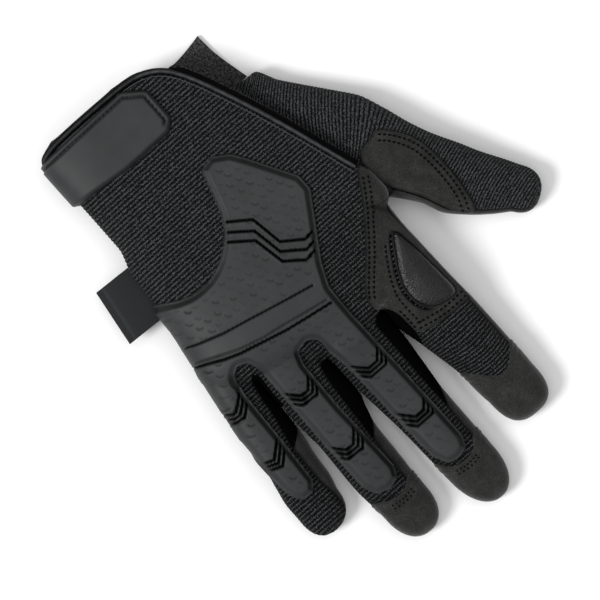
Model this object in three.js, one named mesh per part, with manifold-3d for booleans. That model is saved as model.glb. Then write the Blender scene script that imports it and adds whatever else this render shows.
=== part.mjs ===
// A right-hand tactical glove, lying palm down as it is worn: an open hollow shell of fabric with
// a moulded rubber guard over the back of the hand and three fingers, sewn-on suede patches, a bound
// wrist edge and a wrist strap with a rubber tab.
//
// Millimetres. +Z is up, off the back of the hand, and Z = 0 is the surface that the palm lies on.
// +Y runs from the wrist to the fingertips, and +X from the thumb to the little finger.
// The origin is under the middle of the whole outline.
//
// Every digit and the hand itself is a tube lofted through the rows of a short table. The same tubes
// grown or shrunk by a distance give the lining inside the cloth and the faces of what is sewn on top.

import * as THREE from "three";
import { mergeVertices } from "three/addons/utils/BufferGeometryUtils.js";
import Module from "manifold-3d";

const wasm = await Module();
wasm.setup();

// Driving sizes
const CLOTH = 1.8; // wall of the shell: knit or suede with its lining
const GAP = 0.3; // air left between two pieces that are sewn together
const SEAM_Z = 5; // height of the seam between the palm side and the back
const SUEDE = 0.8; // a sewn-on suede patch
const GUARD_SHEET = 1.2; // the guard's thin rim
const GUARD_PLATEAU = 2.6; // the guard's raised fields, from the cloth up
const PAD_HEIGHT = 3.2; // the finger's padded insert, from the cloth up
const BINDING_WIDTH = 3;
const BINDING_HEIGHT = 2;
const STRAP_THICK = 2;
const TAB_SHEET = 1.4;
const TAB_PLATEAU = 2.8;
const LABEL_THICK = 1.2;
const TOWER = 60; // height of the plan-shaped prisms that cut the pieces out, over everything
const SIDES = { outside: 14, lining: 10 }; // sides of a digit's section
const HAND_SIDES = { outside: 20, lining: 14 }; // sides of the hand's section

// How round each flank of a section is: 2 is an ellipse, more is squarer.
const ROUND = { left: 2.1, right: 3.2, under: 3.2 };
const HAND_ROUND = { left: 4.5, right: 3, under: 4.5 };
const THUMB_ROUND = { left: 2.4, right: 2.2, under: 3 };
const TIP_ROUND = 2.4;
const UNDER_FLAT = 1.2; // the underside is cut flat this far up into its curve
const TIP_STEPS = [0.5, 0.8, 0.96];

// One row for each section: along the digit, its left and right edge seen from above, the top of its
// back and its underside. crest is where the highest line lies, as a share of the width from the left.
const INDEX = {
  crest: 0.5,
  round: { left: 2.8, right: 2.4, under: 3.2 },
  tip: { length: 11.8, lean: -1.2 },
  rows: [
    { along: -4, left: -31, right: -6, top: 25, under: 1 },
    { along: 20, left: -31.6, right: -0.5, top: 24.5, under: 2 },
    { along: 34, left: -32, right: -0.6, top: 23, under: 2.8 },
    { along: 50, left: -32.8, right: -3.8, top: 20.5, under: 3 },
    { along: 72, left: -33, right: -8, top: 17.8, under: 1.2 },
    { along: 82, left: -32.8, right: -8.8, top: 16.7, under: 0 },
    { along: 90, left: -32.6, right: -9.9, top: 15.5, under: 0 },
  ],
};
const MIDDLE = {
  crest: 0.56,
  round: ROUND,
  tip: { length: 15.7, lean: -1.8 },
  rows: [
    { along: 4, left: 0.5, right: 29.4, top: 27, under: 1 },
    { along: 28, left: -1.2, right: 29.4, top: 25, under: 3 },
    { along: 42, left: -0.5, right: 29.2, top: 22.5, under: 4 },
    { along: 57, left: 0.9, right: 27.9, top: 20.4, under: 4 },
    { along: 70, left: 2, right: 26.7, top: 19, under: 3 },
    { along: 93, left: 2.2, right: 25.6, top: 16.8, under: 0 },
    { along: 103, left: 2.8, right: 24.8, top: 15.5, under: 0 },
  ],
};
const RING = {
  crest: 0.57,
  round: ROUND,
  tip: { length: 11.7, lean: -0.6 },
  rows: [
    { along: 2, left: 29.4, right: 58, top: 26, under: 1 },
    { along: 26, left: 29, right: 58, top: 24, under: 3 },
    { along: 45, left: 29, right: 57.6, top: 21.5, under: 4 },
    { along: 53, left: 31.2, right: 57, top: 20.5, under: 3.5 },
    { along: 62, left: 33.2, right: 57.3, top: 19.5, under: 3 },
    { along: 76, left: 33.8, right: 57.7, top: 18, under: 1 },
    { along: 98, left: 35.3, right: 55.5, top: 15, under: 0 },
  ],
};
const LITTLE = {
  crest: 0.6,
  round: ROUND,
  tip: { length: 13.2, lean: 0.8 },
  rows: [
    { along: -14, left: 56, right: 71.3, top: 21, under: 1 },
    { along: 8, left: 57.5, right: 74.9, top: 21.5, under: 2 },
    { along: 28, left: 58.2, right: 77.9, top: 20, under: 3 },
    { along: 43, left: 58.8, right: 80, top: 18.5, under: 2.5 },
    { along: 54, left: 60.5, right: 82.4, top: 17.5, under: 1 },
    { along: 64, left: 61.4, right: 84, top: 16, under: 0 },
    { along: 70.6, left: 63.1, right: 84, top: 14.8, under: 0 },
  ],
};
// The thumb has its own frame: pivot in the hand's frame, and its axis turned from +Y.
const THUMB = {
  crest: 0.42,
  round: THUMB_ROUND,
  pivot: [-40, -40],
  turn: Math.atan2(0.6, 0.8),
  tip: { length: 10.4, lean: 0.5 },
  heel: 5,
  rows: [
    { along: -42, left: -15.8, right: 6, top: 13, under: 0 },
    { along: -32, left: -14.2, right: 12, top: 16, under: 0 },
    { along: -14, left: -14.5, right: 19, top: 18.5, under: 0 },
    { along: 0, left: -14.8, right: 25, top: 20, under: 0.5 },
    { along: 13, left: -11.8, right: 27, top: 21, under: 1 },
    { along: 25, left: -7.8, right: 24.4, top: 21, under: 2 },
    { along: 36, left: -5.2, right: 24.2, top: 20.5, under: 2.5 },
    { along: 47, left: -3.7, right: 26.4, top: 19.5, under: 2 },
    { along: 57, left: -2, right: 25.2, top: 18.5, under: 1 },
    { along: 67, left: -1, right: 22.8, top: 17, under: 0 },
    { along: 75, left: 0, right: 20, top: 15, under: 0 },
  ],
};
// The hand, from the mouth of the cuff to the roots of the fingers.
const HAND = {
  crest: 0.52,
  round: HAND_ROUND,
  rows: [
    { along: -118.4, left: 19, right: 62, top: 23.5, under: STRAP_THICK + GAP },
    { along: -115.5, left: 7, right: 65, top: 23.5, under: STRAP_THICK + GAP },
    { along: -111, left: -0.5, right: 65.4, top: 23.5, under: STRAP_THICK + GAP },
    { along: -106, left: -5, right: 65.6, top: 23.5, under: STRAP_THICK + GAP },
    { along: -82.5, left: -15.6, right: 65.4, top: 24.4, under: STRAP_THICK + GAP },
    { along: -79, left: -17, right: 65.4, top: 24.6, under: 0 },
    { along: -66, left: -21.8, right: 65.4, top: 26, under: 0 },
    { along: -52, left: -26.4, right: 68.8, top: 27.5, under: 0 },
    { along: -38, left: -31, right: 69.2, top: 28.5, under: 0 },
    { along: -25, left: -34.8, right: 69.7, top: 29, under: 0 },
    { along: -12, left: -35.2, right: 71.4, top: 29, under: 0.5 },
    { along: 0, left: -31.4, right: 73.3, top: 28.5, under: 1 },
    { along: 9, left: -31, right: 71, top: 27.5, under: 1.5 },
    { along: 17, left: -30.5, right: 52, top: 26, under: 2 },
    { along: 23, left: -28, right: 42, top: 24, under: 2.5 },
    { along: 27, left: -24, right: 36, top: 17, under: 3 },
  ],
};
// The lining keeps the rows from MOUTH_ROW up. Below them it runs straight out of the cuff with its
// left edge at the lip, so that the mouth also opens round the thumb-side corner.
const MOUTH_ROW = 4;
const MOUTH_LIP = { left: -12, along: -108 };
const MOUTH_END = -130;

// Lines and outlines seen from above, in the order of travel
const BINDING_LINE = [
  [-31.6, -25.5],
  [-27.2, -39],
  [-22.3, -54],
  [-17.4, -68],
  [-12.2, -81.5],
  [-6.8, -94.5],
  [-1.2, -104.6],
  [5, -110.2],
  [13, -114],
  [25, -116],
  [45, -116.3],
  [62, -115.2],
];
const GUARD_OUTLINE = [
  [11, -68.5],
  [18, -67],
  [21.5, -55],
  [24, -47],
  [30, -38.5],
  [38, -32],
  [48, -29.7],
  [58, -31],
  [71, -39],
  [90, -36],
  [90, 50],
  [81.5, 56],
  [80.5, 61],
  [77.5, 65],
  [71.5, 65.3],
  [68.2, 61],
  [66.8, 40],
  [65.8, 14],
  [63.8, 7],
  [60.3, 4.7],
  [56.3, 6.2],
  [54, 12],
  [54.5, 50],
  [54.3, 78],
  [52, 83.5],
  [46.5, 85.6],
  [41, 84],
  [38.9, 79],
  [39.6, 45],
  [39.1, 22],
  [36.8, 16.3],
  [31.5, 15.4],
  [28, 18],
  [26, 32],
  [24.6, 66],
  [23.6, 87],
  [21, 93.5],
  [16, 95],
  [11, 93.5],
  [8.9, 88],
  [9.3, 52],
  [10, 22],
  [9.5, 5],
  [5, -5],
  [-11.7, -31],
  [-11.6, -38],
  [0, -58],
  [4, -64],
];
// The guard's raised fields. The ones on a finger are cut across by its two flex lines.
const GUARD_FIELDS = [
  [
    [11.5, -65],
    [16.5, -64],
    [23, -44],
    [14.5, -38],
    [12.2, -23.5],
    [3.5, -17.5],
    [-8.3, -32],
    [-8.6, -37],
    [3, -57],
  ],
  [
    [20.8, -29.5],
    [30, -35],
    [38, -29.3],
    [48, -27],
    [59, -28.5],
    [71, -36],
    [88, -34],
    [88, -9],
    [75, -8.5],
    [45, 3],
    [13.5, 8],
    [12, 3],
    [8.5, -8.5],
    [18, -16.5],
  ],
  [
    [13, 10],
    [46, 5.5],
    [76, -5],
    [88, -5],
    [88, 15],
    [72.5, 19],
    [68, 12],
    [66, 6],
    [60.3, 2.5],
    [54.5, 4],
    [51.8, 12],
    [51.5, 24],
    [49, 29],
    [45.5, 29],
    [42, 24],
    [41.5, 20],
    [38, 14],
    [31, 13.2],
    [26, 16.5],
    [23.6, 32],
    [23, 34],
    [19.5, 39],
    [15.5, 39],
    [12.2, 34.5],
  ],
];
const FINGER_FIELDS = [
  { left: 12, right: 22.4, from: 45.5, to: 64.5, rise: 4.5 },
  { left: 11.4, right: 21.4, from: 74, to: 92.5, rise: 0 },
  { left: 42.4, right: 51.8, from: 36, to: 55.5, rise: 4.5 },
  { left: 41.8, right: 51.6, from: 65.5, to: 83, rise: 0 },
  { left: 70, right: 86, from: 24.5, to: 39.5, rise: 4 },
  { left: 70.6, right: 79.5, from: 49.5, to: 63, rise: 0 },
];
const FIELD_CORNER = 3.2;
const INDEX_PATCH = [
  [-60, 47.5],
  [-18, 47.5],
  [-6, 42.5],
  [-5.2, 33],
  [-3.4, 27],
  [0, 25],
  [2.4, 20],
  [-1, 15],
  [-11, 4.5],
  [-19, -5.5],
  [-25, -13.5],
  [-30.2, -22.6],
  [-35.2, -23.2],
  [-35.4, -13],
  [-37, -9.5],
  [-40, -4],
  [-36, 4],
];
const INDEX_PAD = [
  [-26, 5.5],
  [-27.8, 12],
  [-29, 26],
  [-29.2, 40],
  [-26, 42.4],
  [-18, 40.4],
  [-13.6, 37],
  [-12, 31.5],
  [-12.6, 23.5],
  [-17, 15.5],
];
const THUMB_PATCH = [
  [-53, 19],
  [-58.3, 22],
  [-60.2, 13],
  [-61, 0],
  [-60, -12],
  [-57.5, -20],
  [-52.5, -27.5],
  [-47.5, -32],
  [-45, -30],
  [-38, -29.6],
  [-35.8, -23.4],
  [-35.9, -12.8],
  [-37.8, -9],
  [-42, -3],
  [-45.8, 4],
  [-48, 10],
];
const TAB_OUTLINE = [
  [12.5, -91.6],
  [16.8, -87.6],
  [40, -87.3],
  [80, -91.2],
  [80, -110.3],
  [21.5, -113.4],
  [12.5, -107.2],
];
const TAB_FIELD = [
  [16, -94.2],
  [19.4, -90.4],
  [40, -89.8],
  [80, -93.2],
  [80, -108.2],
  [24.5, -110.6],
  [16, -105],
];
const TAB_LOW = 9; // the tab ends here round the edge of the hand, where the strap carries it
const STRAP_TURN = 60; // from here the strap turns up round the hand's edge
const STRAP_OUTLINE = [
  [-23, -85.4],
  [-12, -83.8],
  [20, -84.4],
  [64, -88],
  [64, -110.2],
  [30, -107.8],
  [-3, -107.9],
  [-18.5, -110.5],
];
const STRAP_RISE = [
  [STRAP_TURN, -87.7],
  [80, -89.5],
  [80, -110.2],
  [STRAP_TURN, -110],
];
const LABEL = { out: 88.3, high: -31.5, low: -57, z: 9.5, tilt: 1.6 };

// The suede caps of three fingertips
const TIPS = {
  index_tip: [
    [-40, 73],
    [-31, 73.5],
    [-27.5, 79.5],
    [-22, 81],
    [-17, 79.5],
    [-12, 75],
    [-4, 67],
    [-4, 110],
    [-40, 110],
  ],
  middle_tip: [
    [-2, 88],
    [5.8, 92],
    [8.5, 97.5],
    [23, 97],
    [26, 93],
    [31, 93],
    [31, 125],
    [-2, 125],
  ],
  ring_tip: [
    [30, 84],
    [38.6, 88],
    [41, 90.5],
    [50, 90.5],
    [53, 88],
    [60, 84],
    [60, 116],
    [30, 116],
  ],
};
// Suede of the palm side that comes up the thumb-side flank of a finger
const FLANKS = [
  [
    [-2, 62],
    [1, 62],
    [5.4, 77],
    [5.8, 92],
    [-2, 88],
  ],
  [
    [30, 56],
    [31, 56],
    [37.6, 67],
    [38, 80],
    [38.6, 88],
    [30, 84],
  ],
  [
    [58.4, 45],
    [65.4, 47.6],
    [66.2, 60],
    [65, 70],
    [66, 77],
    [60, 80],
    [59, 60],
  ],
];
// The strips between two fingers
const FOURCHETTES = {
  fourchette_index_middle: [
    [-1, 50],
    [-3.4, 50],
    [-4.6, 42],
    [-4.9, 32],
    [-3.5, 27.5],
    [0, 25.7],
    [3.5, 27],
    [5.2, 31],
    [5, 76],
    [0.6, 61],
    [-0.6, 50],
  ],
  fourchette_middle_ring: [
    [29.8, 50],
    [29.7, 33],
    [30.2, 28],
    [32.5, 25.7],
    [35, 28],
    [35.8, 35],
    [36.8, 52],
    [37.4, 66],
    [31, 54.8],
  ],
  fourchette_ring_little: [
    [58.4, 44],
    [58.2, 30],
    [58.3, 16],
    [59.4, 13],
    [61, 14],
    [62.2, 20],
    [64, 33],
    [65.2, 46.4],
  ],
};

// Plain geometry

// A closed geometry's solid, for joining and cutting.
function solidOf(geometry) {
  const bare = new THREE.BufferGeometry().setAttribute("position", geometry.getAttribute("position"));
  if (geometry.index) bare.setIndex(geometry.index);
  const merged = mergeVertices(bare, 1e-4);
  return new wasm.Manifold(
    new wasm.Mesh({
      numProp: 3,
      vertProperties: merged.attributes.position.array,
      triVerts: new Uint32Array(merged.index.array),
    }),
  );
}

// The triangles of a solid as a geometry.
function geometryOf(solid) {
  const mesh = solid.getMesh();
  const geometry = new THREE.BufferGeometry();
  geometry.setAttribute("position", new THREE.BufferAttribute(mesh.vertProperties, 3));
  geometry.setIndex(new THREE.BufferAttribute(mesh.triVerts, 1));
  const flat = geometry.toNonIndexed();
  flat.computeVertexNormals();
  return flat;
}

// One point of a section at an angle: each quarter is a superellipse, cut flat on the underside.
function sectionPoint(row, shape, angle) {
  const cos = Math.cos(angle);
  const sin = Math.sin(angle);
  const middle = row.under + 0.42 * (row.top - row.under);
  const crest = row.left + shape.crest * (row.right - row.left);
  const half = cos < 0 ? row.left - crest : row.right - crest;
  const side = cos < 0 ? shape.round.left : shape.round.right;
  const power = 2 / (sin < 0 ? shape.round.under : side);
  const x = crest + half * Math.abs(cos) ** power;
  if (sin >= 0) return [x, middle + (row.top - middle) * sin ** power];
  const depth = middle - row.under + UNDER_FLAT;
  return [x, Math.max(row.under, middle - depth * Math.abs(sin) ** power)];
}

// The rows of a digit's round tip: the last section shrinks to a point along a superellipse.
function tipRows(shape, grow) {
  const last = shape.rows[shape.rows.length - 1];
  const length = shape.tip.length + grow;
  const middle = last.under + 0.42 * (last.top - last.under);
  const centre = (last.left + last.right) / 2;
  return TIP_STEPS.map((share) => {
    const size = (1 - share ** TIP_ROUND) ** (1 / TIP_ROUND);
    const x = centre + shape.tip.lean * share;
    return {
      along: last.along + length * share,
      left: x + (last.left - grow - centre) * size,
      right: x + (last.right + grow - centre) * size,
      top: middle + (last.top + grow - middle) * size,
      under: middle - (middle - last.under + grow) * size,
    };
  });
}

// A row moved outwards all round by a distance, which is negative for the lining.
function grownRow(row, grow) {
  return {
    along: row.along,
    left: row.left - grow,
    right: row.right + grow,
    top: row.top + grow,
    under: row.under - grow,
  };
}

// A closed tube through rows: each row is a ring of points, and both ends are flat fans.
function loft(rows, shape, sides) {
  const positions = [];
  const faces = [];
  for (const row of rows) {
    for (let i = 0; i < sides; i++) {
      const [x, z] = sectionPoint(row, shape, ((i + 0.5) * 2 * Math.PI) / sides);
      positions.push(x, row.along, z);
    }
  }
  const end = rows.length - 1;
  for (let r = 0; r < end; r++) {
    for (let i = 0; i < sides; i++) {
      const next = (i + 1) % sides;
      const a = r * sides + i;
      const b = r * sides + next;
      faces.push(a, a + sides, b, b, a + sides, b + sides);
    }
  }
  for (let i = 1; i < sides - 1; i++) {
    faces.push(0, i, i + 1);
    faces.push(end * sides, end * sides + i + 1, end * sides + i);
  }
  const geometry = new THREE.BufferGeometry();
  geometry.setAttribute("position", new THREE.Float32BufferAttribute(positions, 3));
  geometry.setIndex(faces);
  return geometry;
}

// A digit grown by a distance, with its round tip.
function digit(shape, grow) {
  const sides = grow < 0 ? SIDES.lining : SIDES.outside;
  const rows = shape.rows.map((row) => grownRow(row, grow));
  if (shape.heel) {
    const first = rows[0];
    const middle = first.under + 0.42 * (first.top - first.under);
    const low = { ...first, along: first.along - shape.heel - grow };
    low.left = first.left + shape.heel;
    low.top = middle + 0.45 * (first.top - middle);
    low.under = middle - 0.45 * (middle - first.under);
    rows.unshift(low);
  }
  const geometry = loft([...rows, ...tipRows(shape, grow)], shape, sides);
  if (shape.turn) {
    geometry.rotateZ(shape.turn);
    geometry.translate(shape.pivot[0], shape.pivot[1], 0);
  }
  return solidOf(geometry);
}

// The hand grown by a distance. Its lining runs on through the mouth of the cuff.
function hand(grow) {
  let rows = HAND.rows.map((row) => grownRow(row, grow));
  if (grow < 0) {
    const kept = rows.slice(MOUTH_ROW);
    const lip = { ...kept[0], ...MOUTH_LIP };
    rows = [{ ...lip, along: MOUTH_END }, lip, ...kept];
  }
  rows[rows.length - 1].along += grow;
  return solidOf(loft(rows, HAND, grow < 0 ? HAND_SIDES.lining : HAND_SIDES.outside));
}

// The whole glove's outside, grown by a distance. Each is made once.
const bodies = new Map();
function body(grow) {
  if (!bodies.has(grow)) {
    const digits = [INDEX, MIDDLE, RING, LITTLE, THUMB].map((shape) => digit(shape, grow));
    bodies.set(
      grow,
      digits.reduce((whole, part) => whole.add(part), hand(grow)),
    );
  }
  return bodies.get(grow);
}

// Outline points moved outwards by a distance.
function grownOutline(points, grow) {
  const area = THREE.ShapeUtils.area(points.map(([x, y]) => new THREE.Vector2(x, y)));
  const sign = area > 0 ? 1 : -1;
  return points.map(([x, y], i) => {
    const before = points[(i + points.length - 1) % points.length];
    const after = points[(i + 1) % points.length];
    const dx = after[0] - before[0];
    const dy = after[1] - before[1];
    const length = Math.hypot(dx, dy);
    return [x + (sign * grow * dy) / length, y - (sign * grow * dx) / length];
  });
}

// A tall prism on an outline, from a height upwards.
function prism(points, grow = 0, from = -5, height = TOWER) {
  const shape = new THREE.Shape(grownOutline(points, grow).map(([x, y]) => new THREE.Vector2(x, y)));
  const geometry = new THREE.ExtrudeGeometry(shape, { depth: height, bevelEnabled: false });
  geometry.translate(0, 0, from);
  return solidOf(geometry);
}

// The outline of a strip of some width along a line.
function stripOutline(line, width) {
  const curve = new THREE.SplineCurve(line.map(([x, y]) => new THREE.Vector2(x, y)));
  const steps = line.length;
  const sides = [[], []];
  for (let i = 0; i <= steps; i++) {
    const p = curve.getPoint(i / steps);
    const t = curve.getTangent(i / steps);
    sides[0].push([p.x - (t.y * width) / 2, p.y + (t.x * width) / 2]);
    sides[1].unshift([p.x + (t.y * width) / 2, p.y - (t.x * width) / 2]);
  }
  return [...sides[0], ...sides[1]];
}

// A box from its lowest to its highest corner.
function block(low, high) {
  const size = high.map((v, i) => v - low[i]);
  const geometry = new THREE.BoxGeometry(...size);
  geometry.translate(...low.map((v, i) => v + size[i] / 2));
  return solidOf(geometry);
}

const above = (z) => block([-150, -150, z], [150, 150, TOWER]);
const below = (z) => block([-150, -150, -TOWER], [150, 150, z]);

// A sheet that lies on the glove inside an outline, from one distance off the cloth to another.
function laidOn(outline, from, to, low) {
  return body(to).subtract(body(from)).intersect(prism(outline)).intersect(above(low));
}

// A solid's largest connected body, without the crumbs that a cut can leave.
function largest(solid) {
  return solid.decompose().reduce((best, s) => (s.volume() > best.volume() ? s : best));
}

// Pieces

// The cloth shell, open at the cuff.
const shell = body(0).subtract(body(-CLOTH));

// The part of a solid inside or outside some outlines, with half of a seam's gap taken off.
function inside(solid, outlines) {
  const prisms = outlines.map((outline) => prism(outline, -GAP / 2));
  return prisms.reduce((all, one) => all.add(one)).intersect(solid);
}
function outside(solid, outlines) {
  return outlines.reduce((rest, outline) => rest.subtract(prism(outline, GAP / 2)), solid);
}

// The seam of the thumb runs beside the binding and then straight up to the crotch.
const THUMB_SEAM = [
  [-2.5, -108],
  ...BINDING_LINE.slice(0, 6)
    .reverse()
    .map(([x, y]) => [x - 2.6, y]),
  [-35.6, -23],
  [-35.6, -12],
  [-34.6, -6],
  [-34.6, 60],
  [-120, 60],
  [-120, -108],
];
// The seam across the index finger, under its patch
const INDEX_SEAM = [
  [-40, 34],
  [-12, 34],
  [-3.2, 36],
  [0, 64],
  [0, 110],
  [-40, 110],
];

// The palm side is everything under the seam, with the flanks that come up over it.
const tips = Object.values(TIPS);
const strips = Object.values(FOURCHETTES);
const raisedFlanks = outside(inside(shell, FLANKS), strips);
const palmHalf = outside(shell.intersect(below(SEAM_Z - GAP / 2)).add(raisedFlanks), tips);
const backHalf = outside(shell.intersect(above(SEAM_Z + GAP / 2)), [...tips, ...FLANKS]);

// The raised field on one joint of a finger: square at the tip end, pointed at the flex line.
function fingerField({ left, right, from, to, rise }) {
  const inset = rise ? FIELD_CORNER : FIELD_CORNER * 0.8;
  return [
    [left, from - FIELD_CORNER],
    [left + FIELD_CORNER, from],
    [right - FIELD_CORNER, from],
    [right, from - FIELD_CORNER],
    [right, to - inset],
    [right - inset, to],
    [left + inset, to],
    [left, to - inset],
  ];
}

function guard() {
  const low = SEAM_Z + 4;
  const sheet = laidOn(GUARD_OUTLINE, GAP, GAP + GUARD_SHEET, low);
  const fields = [...GUARD_FIELDS, ...FINGER_FIELDS.map(fingerField)];
  const towers = fields.map((outline) => prism(outline)).reduce((all, one) => all.add(one));
  const top = body(GUARD_PLATEAU).subtract(body(GAP + GUARD_SHEET / 2)).intersect(above(low));
  const raised = top.intersect(towers).intersect(prism(GUARD_OUTLINE));
  return largest(sheet.add(raised));
}

function tab() {
  const sheet = laidOn(TAB_OUTLINE, GAP, GAP + TAB_SHEET, TAB_LOW);
  const field = laidOn(TAB_FIELD, GAP + TAB_SHEET / 2, TAB_PLATEAU, TAB_LOW);
  return largest(sheet.add(field));
}

// The strap runs flat under the wrist, out past the thumb side, and up round the other edge.
function strap() {
  const flat = prism(STRAP_OUTLINE, 0, 0, STRAP_THICK).subtract(body(GAP));
  const rise = body(GAP + STRAP_THICK)
    .subtract(body(GAP))
    .intersect(prism(STRAP_RISE))
    .intersect(above(0))
    .intersect(below(TAB_LOW - GAP));
  return largest(flat.add(rise));
}

function label() {
  const { out, high, low, z, tilt } = LABEL;
  const outline = [
    [66, high - tilt * 0.3],
    [out, high - tilt],
    [out - 2 * tilt, low - tilt * 0.4],
    [62, low + tilt],
  ];
  const tag = prism(outline, 0, z, LABEL_THICK);
  return largest(tag.subtract(body(GUARD_PLATEAU + GAP)));
}

const paint = (color, roughness, metalness = 0) =>
  new THREE.MeshStandardMaterial({ color, roughness, metalness });

const KNIT = paint(0x1d1f21, 0.92);
const SUEDE_CLOTH = paint(0x242321, 0.95);
const RUBBER = paint(0x34373a, 0.6);
const SIDE_CLOTH = paint(0x0b0b0c, 0.95);
const SATIN = paint(0x101012, 0.45);
const GRAINED = paint(0x2a2e31, 0.4);
const STRAP_CLOTH = paint(0x202020, 0.97);
const WOVEN = paint(0x17181a, 0.85);

const glove = new THREE.Group();

function addPiece(name, solid, material) {
  const mesh = new THREE.Mesh(geometryOf(solid), material);
  mesh.name = name;
  glove.add(mesh);
}

addPiece("palm_panel", largest(outside(palmHalf, [THUMB_SEAM])), SUEDE_CLOTH);
addPiece("thumb_palm", largest(inside(palmHalf, [THUMB_SEAM])), SUEDE_CLOTH);
for (const [name, outline] of Object.entries(TIPS)) {
  addPiece(name, largest(inside(shell, [outline])), SUEDE_CLOTH);
}
addPiece("back_panel", largest(outside(backHalf, [THUMB_SEAM, INDEX_SEAM, ...strips])), KNIT);
addPiece("index_back", largest(inside(outside(backHalf, [THUMB_SEAM, ...strips]), [INDEX_SEAM])), KNIT);
addPiece("thumb_panel", largest(inside(backHalf, [THUMB_SEAM])), KNIT);
for (const [name, outline] of Object.entries(FOURCHETTES)) {
  addPiece(name, largest(inside(backHalf, [outline])), SIDE_CLOTH);
}
addPiece("knuckle_guard", guard(), RUBBER);
addPiece("index_patch", largest(laidOn(INDEX_PATCH, GAP, GAP + SUEDE, SEAM_Z + 1)), SUEDE_CLOTH);
addPiece("index_pad", largest(laidOn(INDEX_PAD, GAP * 2 + SUEDE, PAD_HEIGHT, SEAM_Z + 1)), GRAINED);
addPiece("thumb_patch", largest(laidOn(THUMB_PATCH, GAP, GAP + SUEDE, SEAM_Z + 1)), SUEDE_CLOTH);
addPiece(
  "wrist_binding",
  largest(laidOn(stripOutline(BINDING_LINE, BINDING_WIDTH), GAP, GAP + BINDING_HEIGHT, 12)),
  SATIN,
);
addPiece("cuff_tab", tab(), RUBBER);
addPiece("wrist_strap", strap(), STRAP_CLOTH);
addPiece("side_label", label(), WOVEN);

export default glove;
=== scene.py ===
"""Looks of a right-hand tactical glove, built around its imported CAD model.

Lengths are millimetres until a mesh is made. +Z is up off the back of the hand, +Y runs from the
wrist to the fingertips and +X from the thumb to the little finger.

The hand and each digit are tubes, given by the same rows as the CAD. Every piece is a grid of two
parameters: rows along a tube and columns round its section, raised by a relief along the normal.
"""

import math

import bpy
import numpy as np
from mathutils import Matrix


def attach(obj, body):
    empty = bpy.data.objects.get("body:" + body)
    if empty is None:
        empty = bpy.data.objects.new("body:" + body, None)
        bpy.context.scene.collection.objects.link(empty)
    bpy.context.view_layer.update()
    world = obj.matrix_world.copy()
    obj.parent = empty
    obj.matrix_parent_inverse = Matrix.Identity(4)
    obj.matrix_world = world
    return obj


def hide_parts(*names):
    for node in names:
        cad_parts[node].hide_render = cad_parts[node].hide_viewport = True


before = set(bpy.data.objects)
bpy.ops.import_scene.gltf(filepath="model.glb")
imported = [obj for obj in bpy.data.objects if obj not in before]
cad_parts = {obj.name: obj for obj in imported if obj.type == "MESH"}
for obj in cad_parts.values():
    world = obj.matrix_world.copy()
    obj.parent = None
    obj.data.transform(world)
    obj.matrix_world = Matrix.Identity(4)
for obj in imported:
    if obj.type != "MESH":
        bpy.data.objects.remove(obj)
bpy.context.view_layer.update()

MM = 0.001

# Driving sizes, in millimetres
CLOTH = 1.5
SEAM_HEIGHT = 5.0  # of the seam between palm and back, low on the flanks
RIB_PITCH = 1.75
THUMB_PITCH = 1.45
INDEX_PITCH = 1.5
RIB_DEPTH = 0.15
STITCH_COLUMN = 1.15  # width of one column of knit stitches
INDEX_BEND = 2.4  # how far the ribs by the index fingertip bulge towards it
CAP_LIFT = 0.55
PATCH_LIFT = 0.9
RUBBER_LIFT = 0.25
RUBBER_SUNK = 0.15  # from the lifted base down to the hidden side
RUBBER_FOOT = 9.0  # height at which guard and tab end on the little finger's flank
GUARD_RIM = 1.25
GUARD_PLATEAU = 2.7
GROOVE_DEPTH = 1.7
GUARD_BEVEL = 2.1
GUARD_LIP = 0.55
CRESCENT_DEPTH = 0.3
CRESCENT_CELL = (4.6, 4.0)
CRESCENT_RADIUS = 1.7
CHEVRON_STEP = 1.8
CHEVRON_WIDTH = 1.05
ZIGZAG_WIDTH = 1.0
TAB_RIM = 2.1
TAB_PLATEAU = 2.7
TAB_CHANNEL_DEPTH = 1.1
STRAP_THICK = 1.9
LABEL_HALF = 9.6  # half of its width
LABEL_LENGTH = 25.6
LABEL_THICK = 1.24
LABEL_START = (75.3, -57.3, 10.3)  # the middle of its end nearer the wrist
LABEL_LEAN = 3.6  # how far its other end lies further out
INDEX_SEAM_INSET = 1.4  # of that seam from the index finger's silhouette

# How finely the pieces are divided: columns across, and steps between rows
KNIT_COLUMNS = (29, 26, 26, 29)
INDEX_COLUMNS = 56
THUMB_COLUMNS = 97
PALM_COLUMNS = 92
FINGER_PALM_COLUMNS = 30
THUMB_PALM_COLUMNS = 46
CAP_COLUMNS = 110
WEB_COLUMNS = 26
THUMB_PATCH_COLUMNS = 80
THUMB_STEP = 0.36
SUEDE_STEP = 1.3
CAP_STEP = 0.55
STRETCH_STEP = 0.8
RUBBER_STEP = 0.44
PATCH_STEP = 0.55
PAD_STEP = 0.42
TIP_ROWS = np.array([0.6, 0.3, 0.12, 0.0])  # distances of a tube's last rows from its end
CLOTH_CREASE = 62.0  # degrees past which an edge stays sharp
RUBBER_CREASE = 80.0

# How the tubes' sections are shaped
WAIST = 0.42  # the widest line's height, as a share from the underside to the top
UNDER_FLAT = 1.2
STEEP = 4.0  # fall of the surface outside a tube's outline, per millimetre
HEEL_FALL = 1.5  # fall behind a tube's first row
BLEND = 0.8  # softness of the valleys where tubes meet


def ease(share):
    """A soft step from 0 to 1: 3 t^2 - 2 t^3."""
    t = np.clip(share, 0, 1)
    return t * t * (3 - 2 * t)


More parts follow.
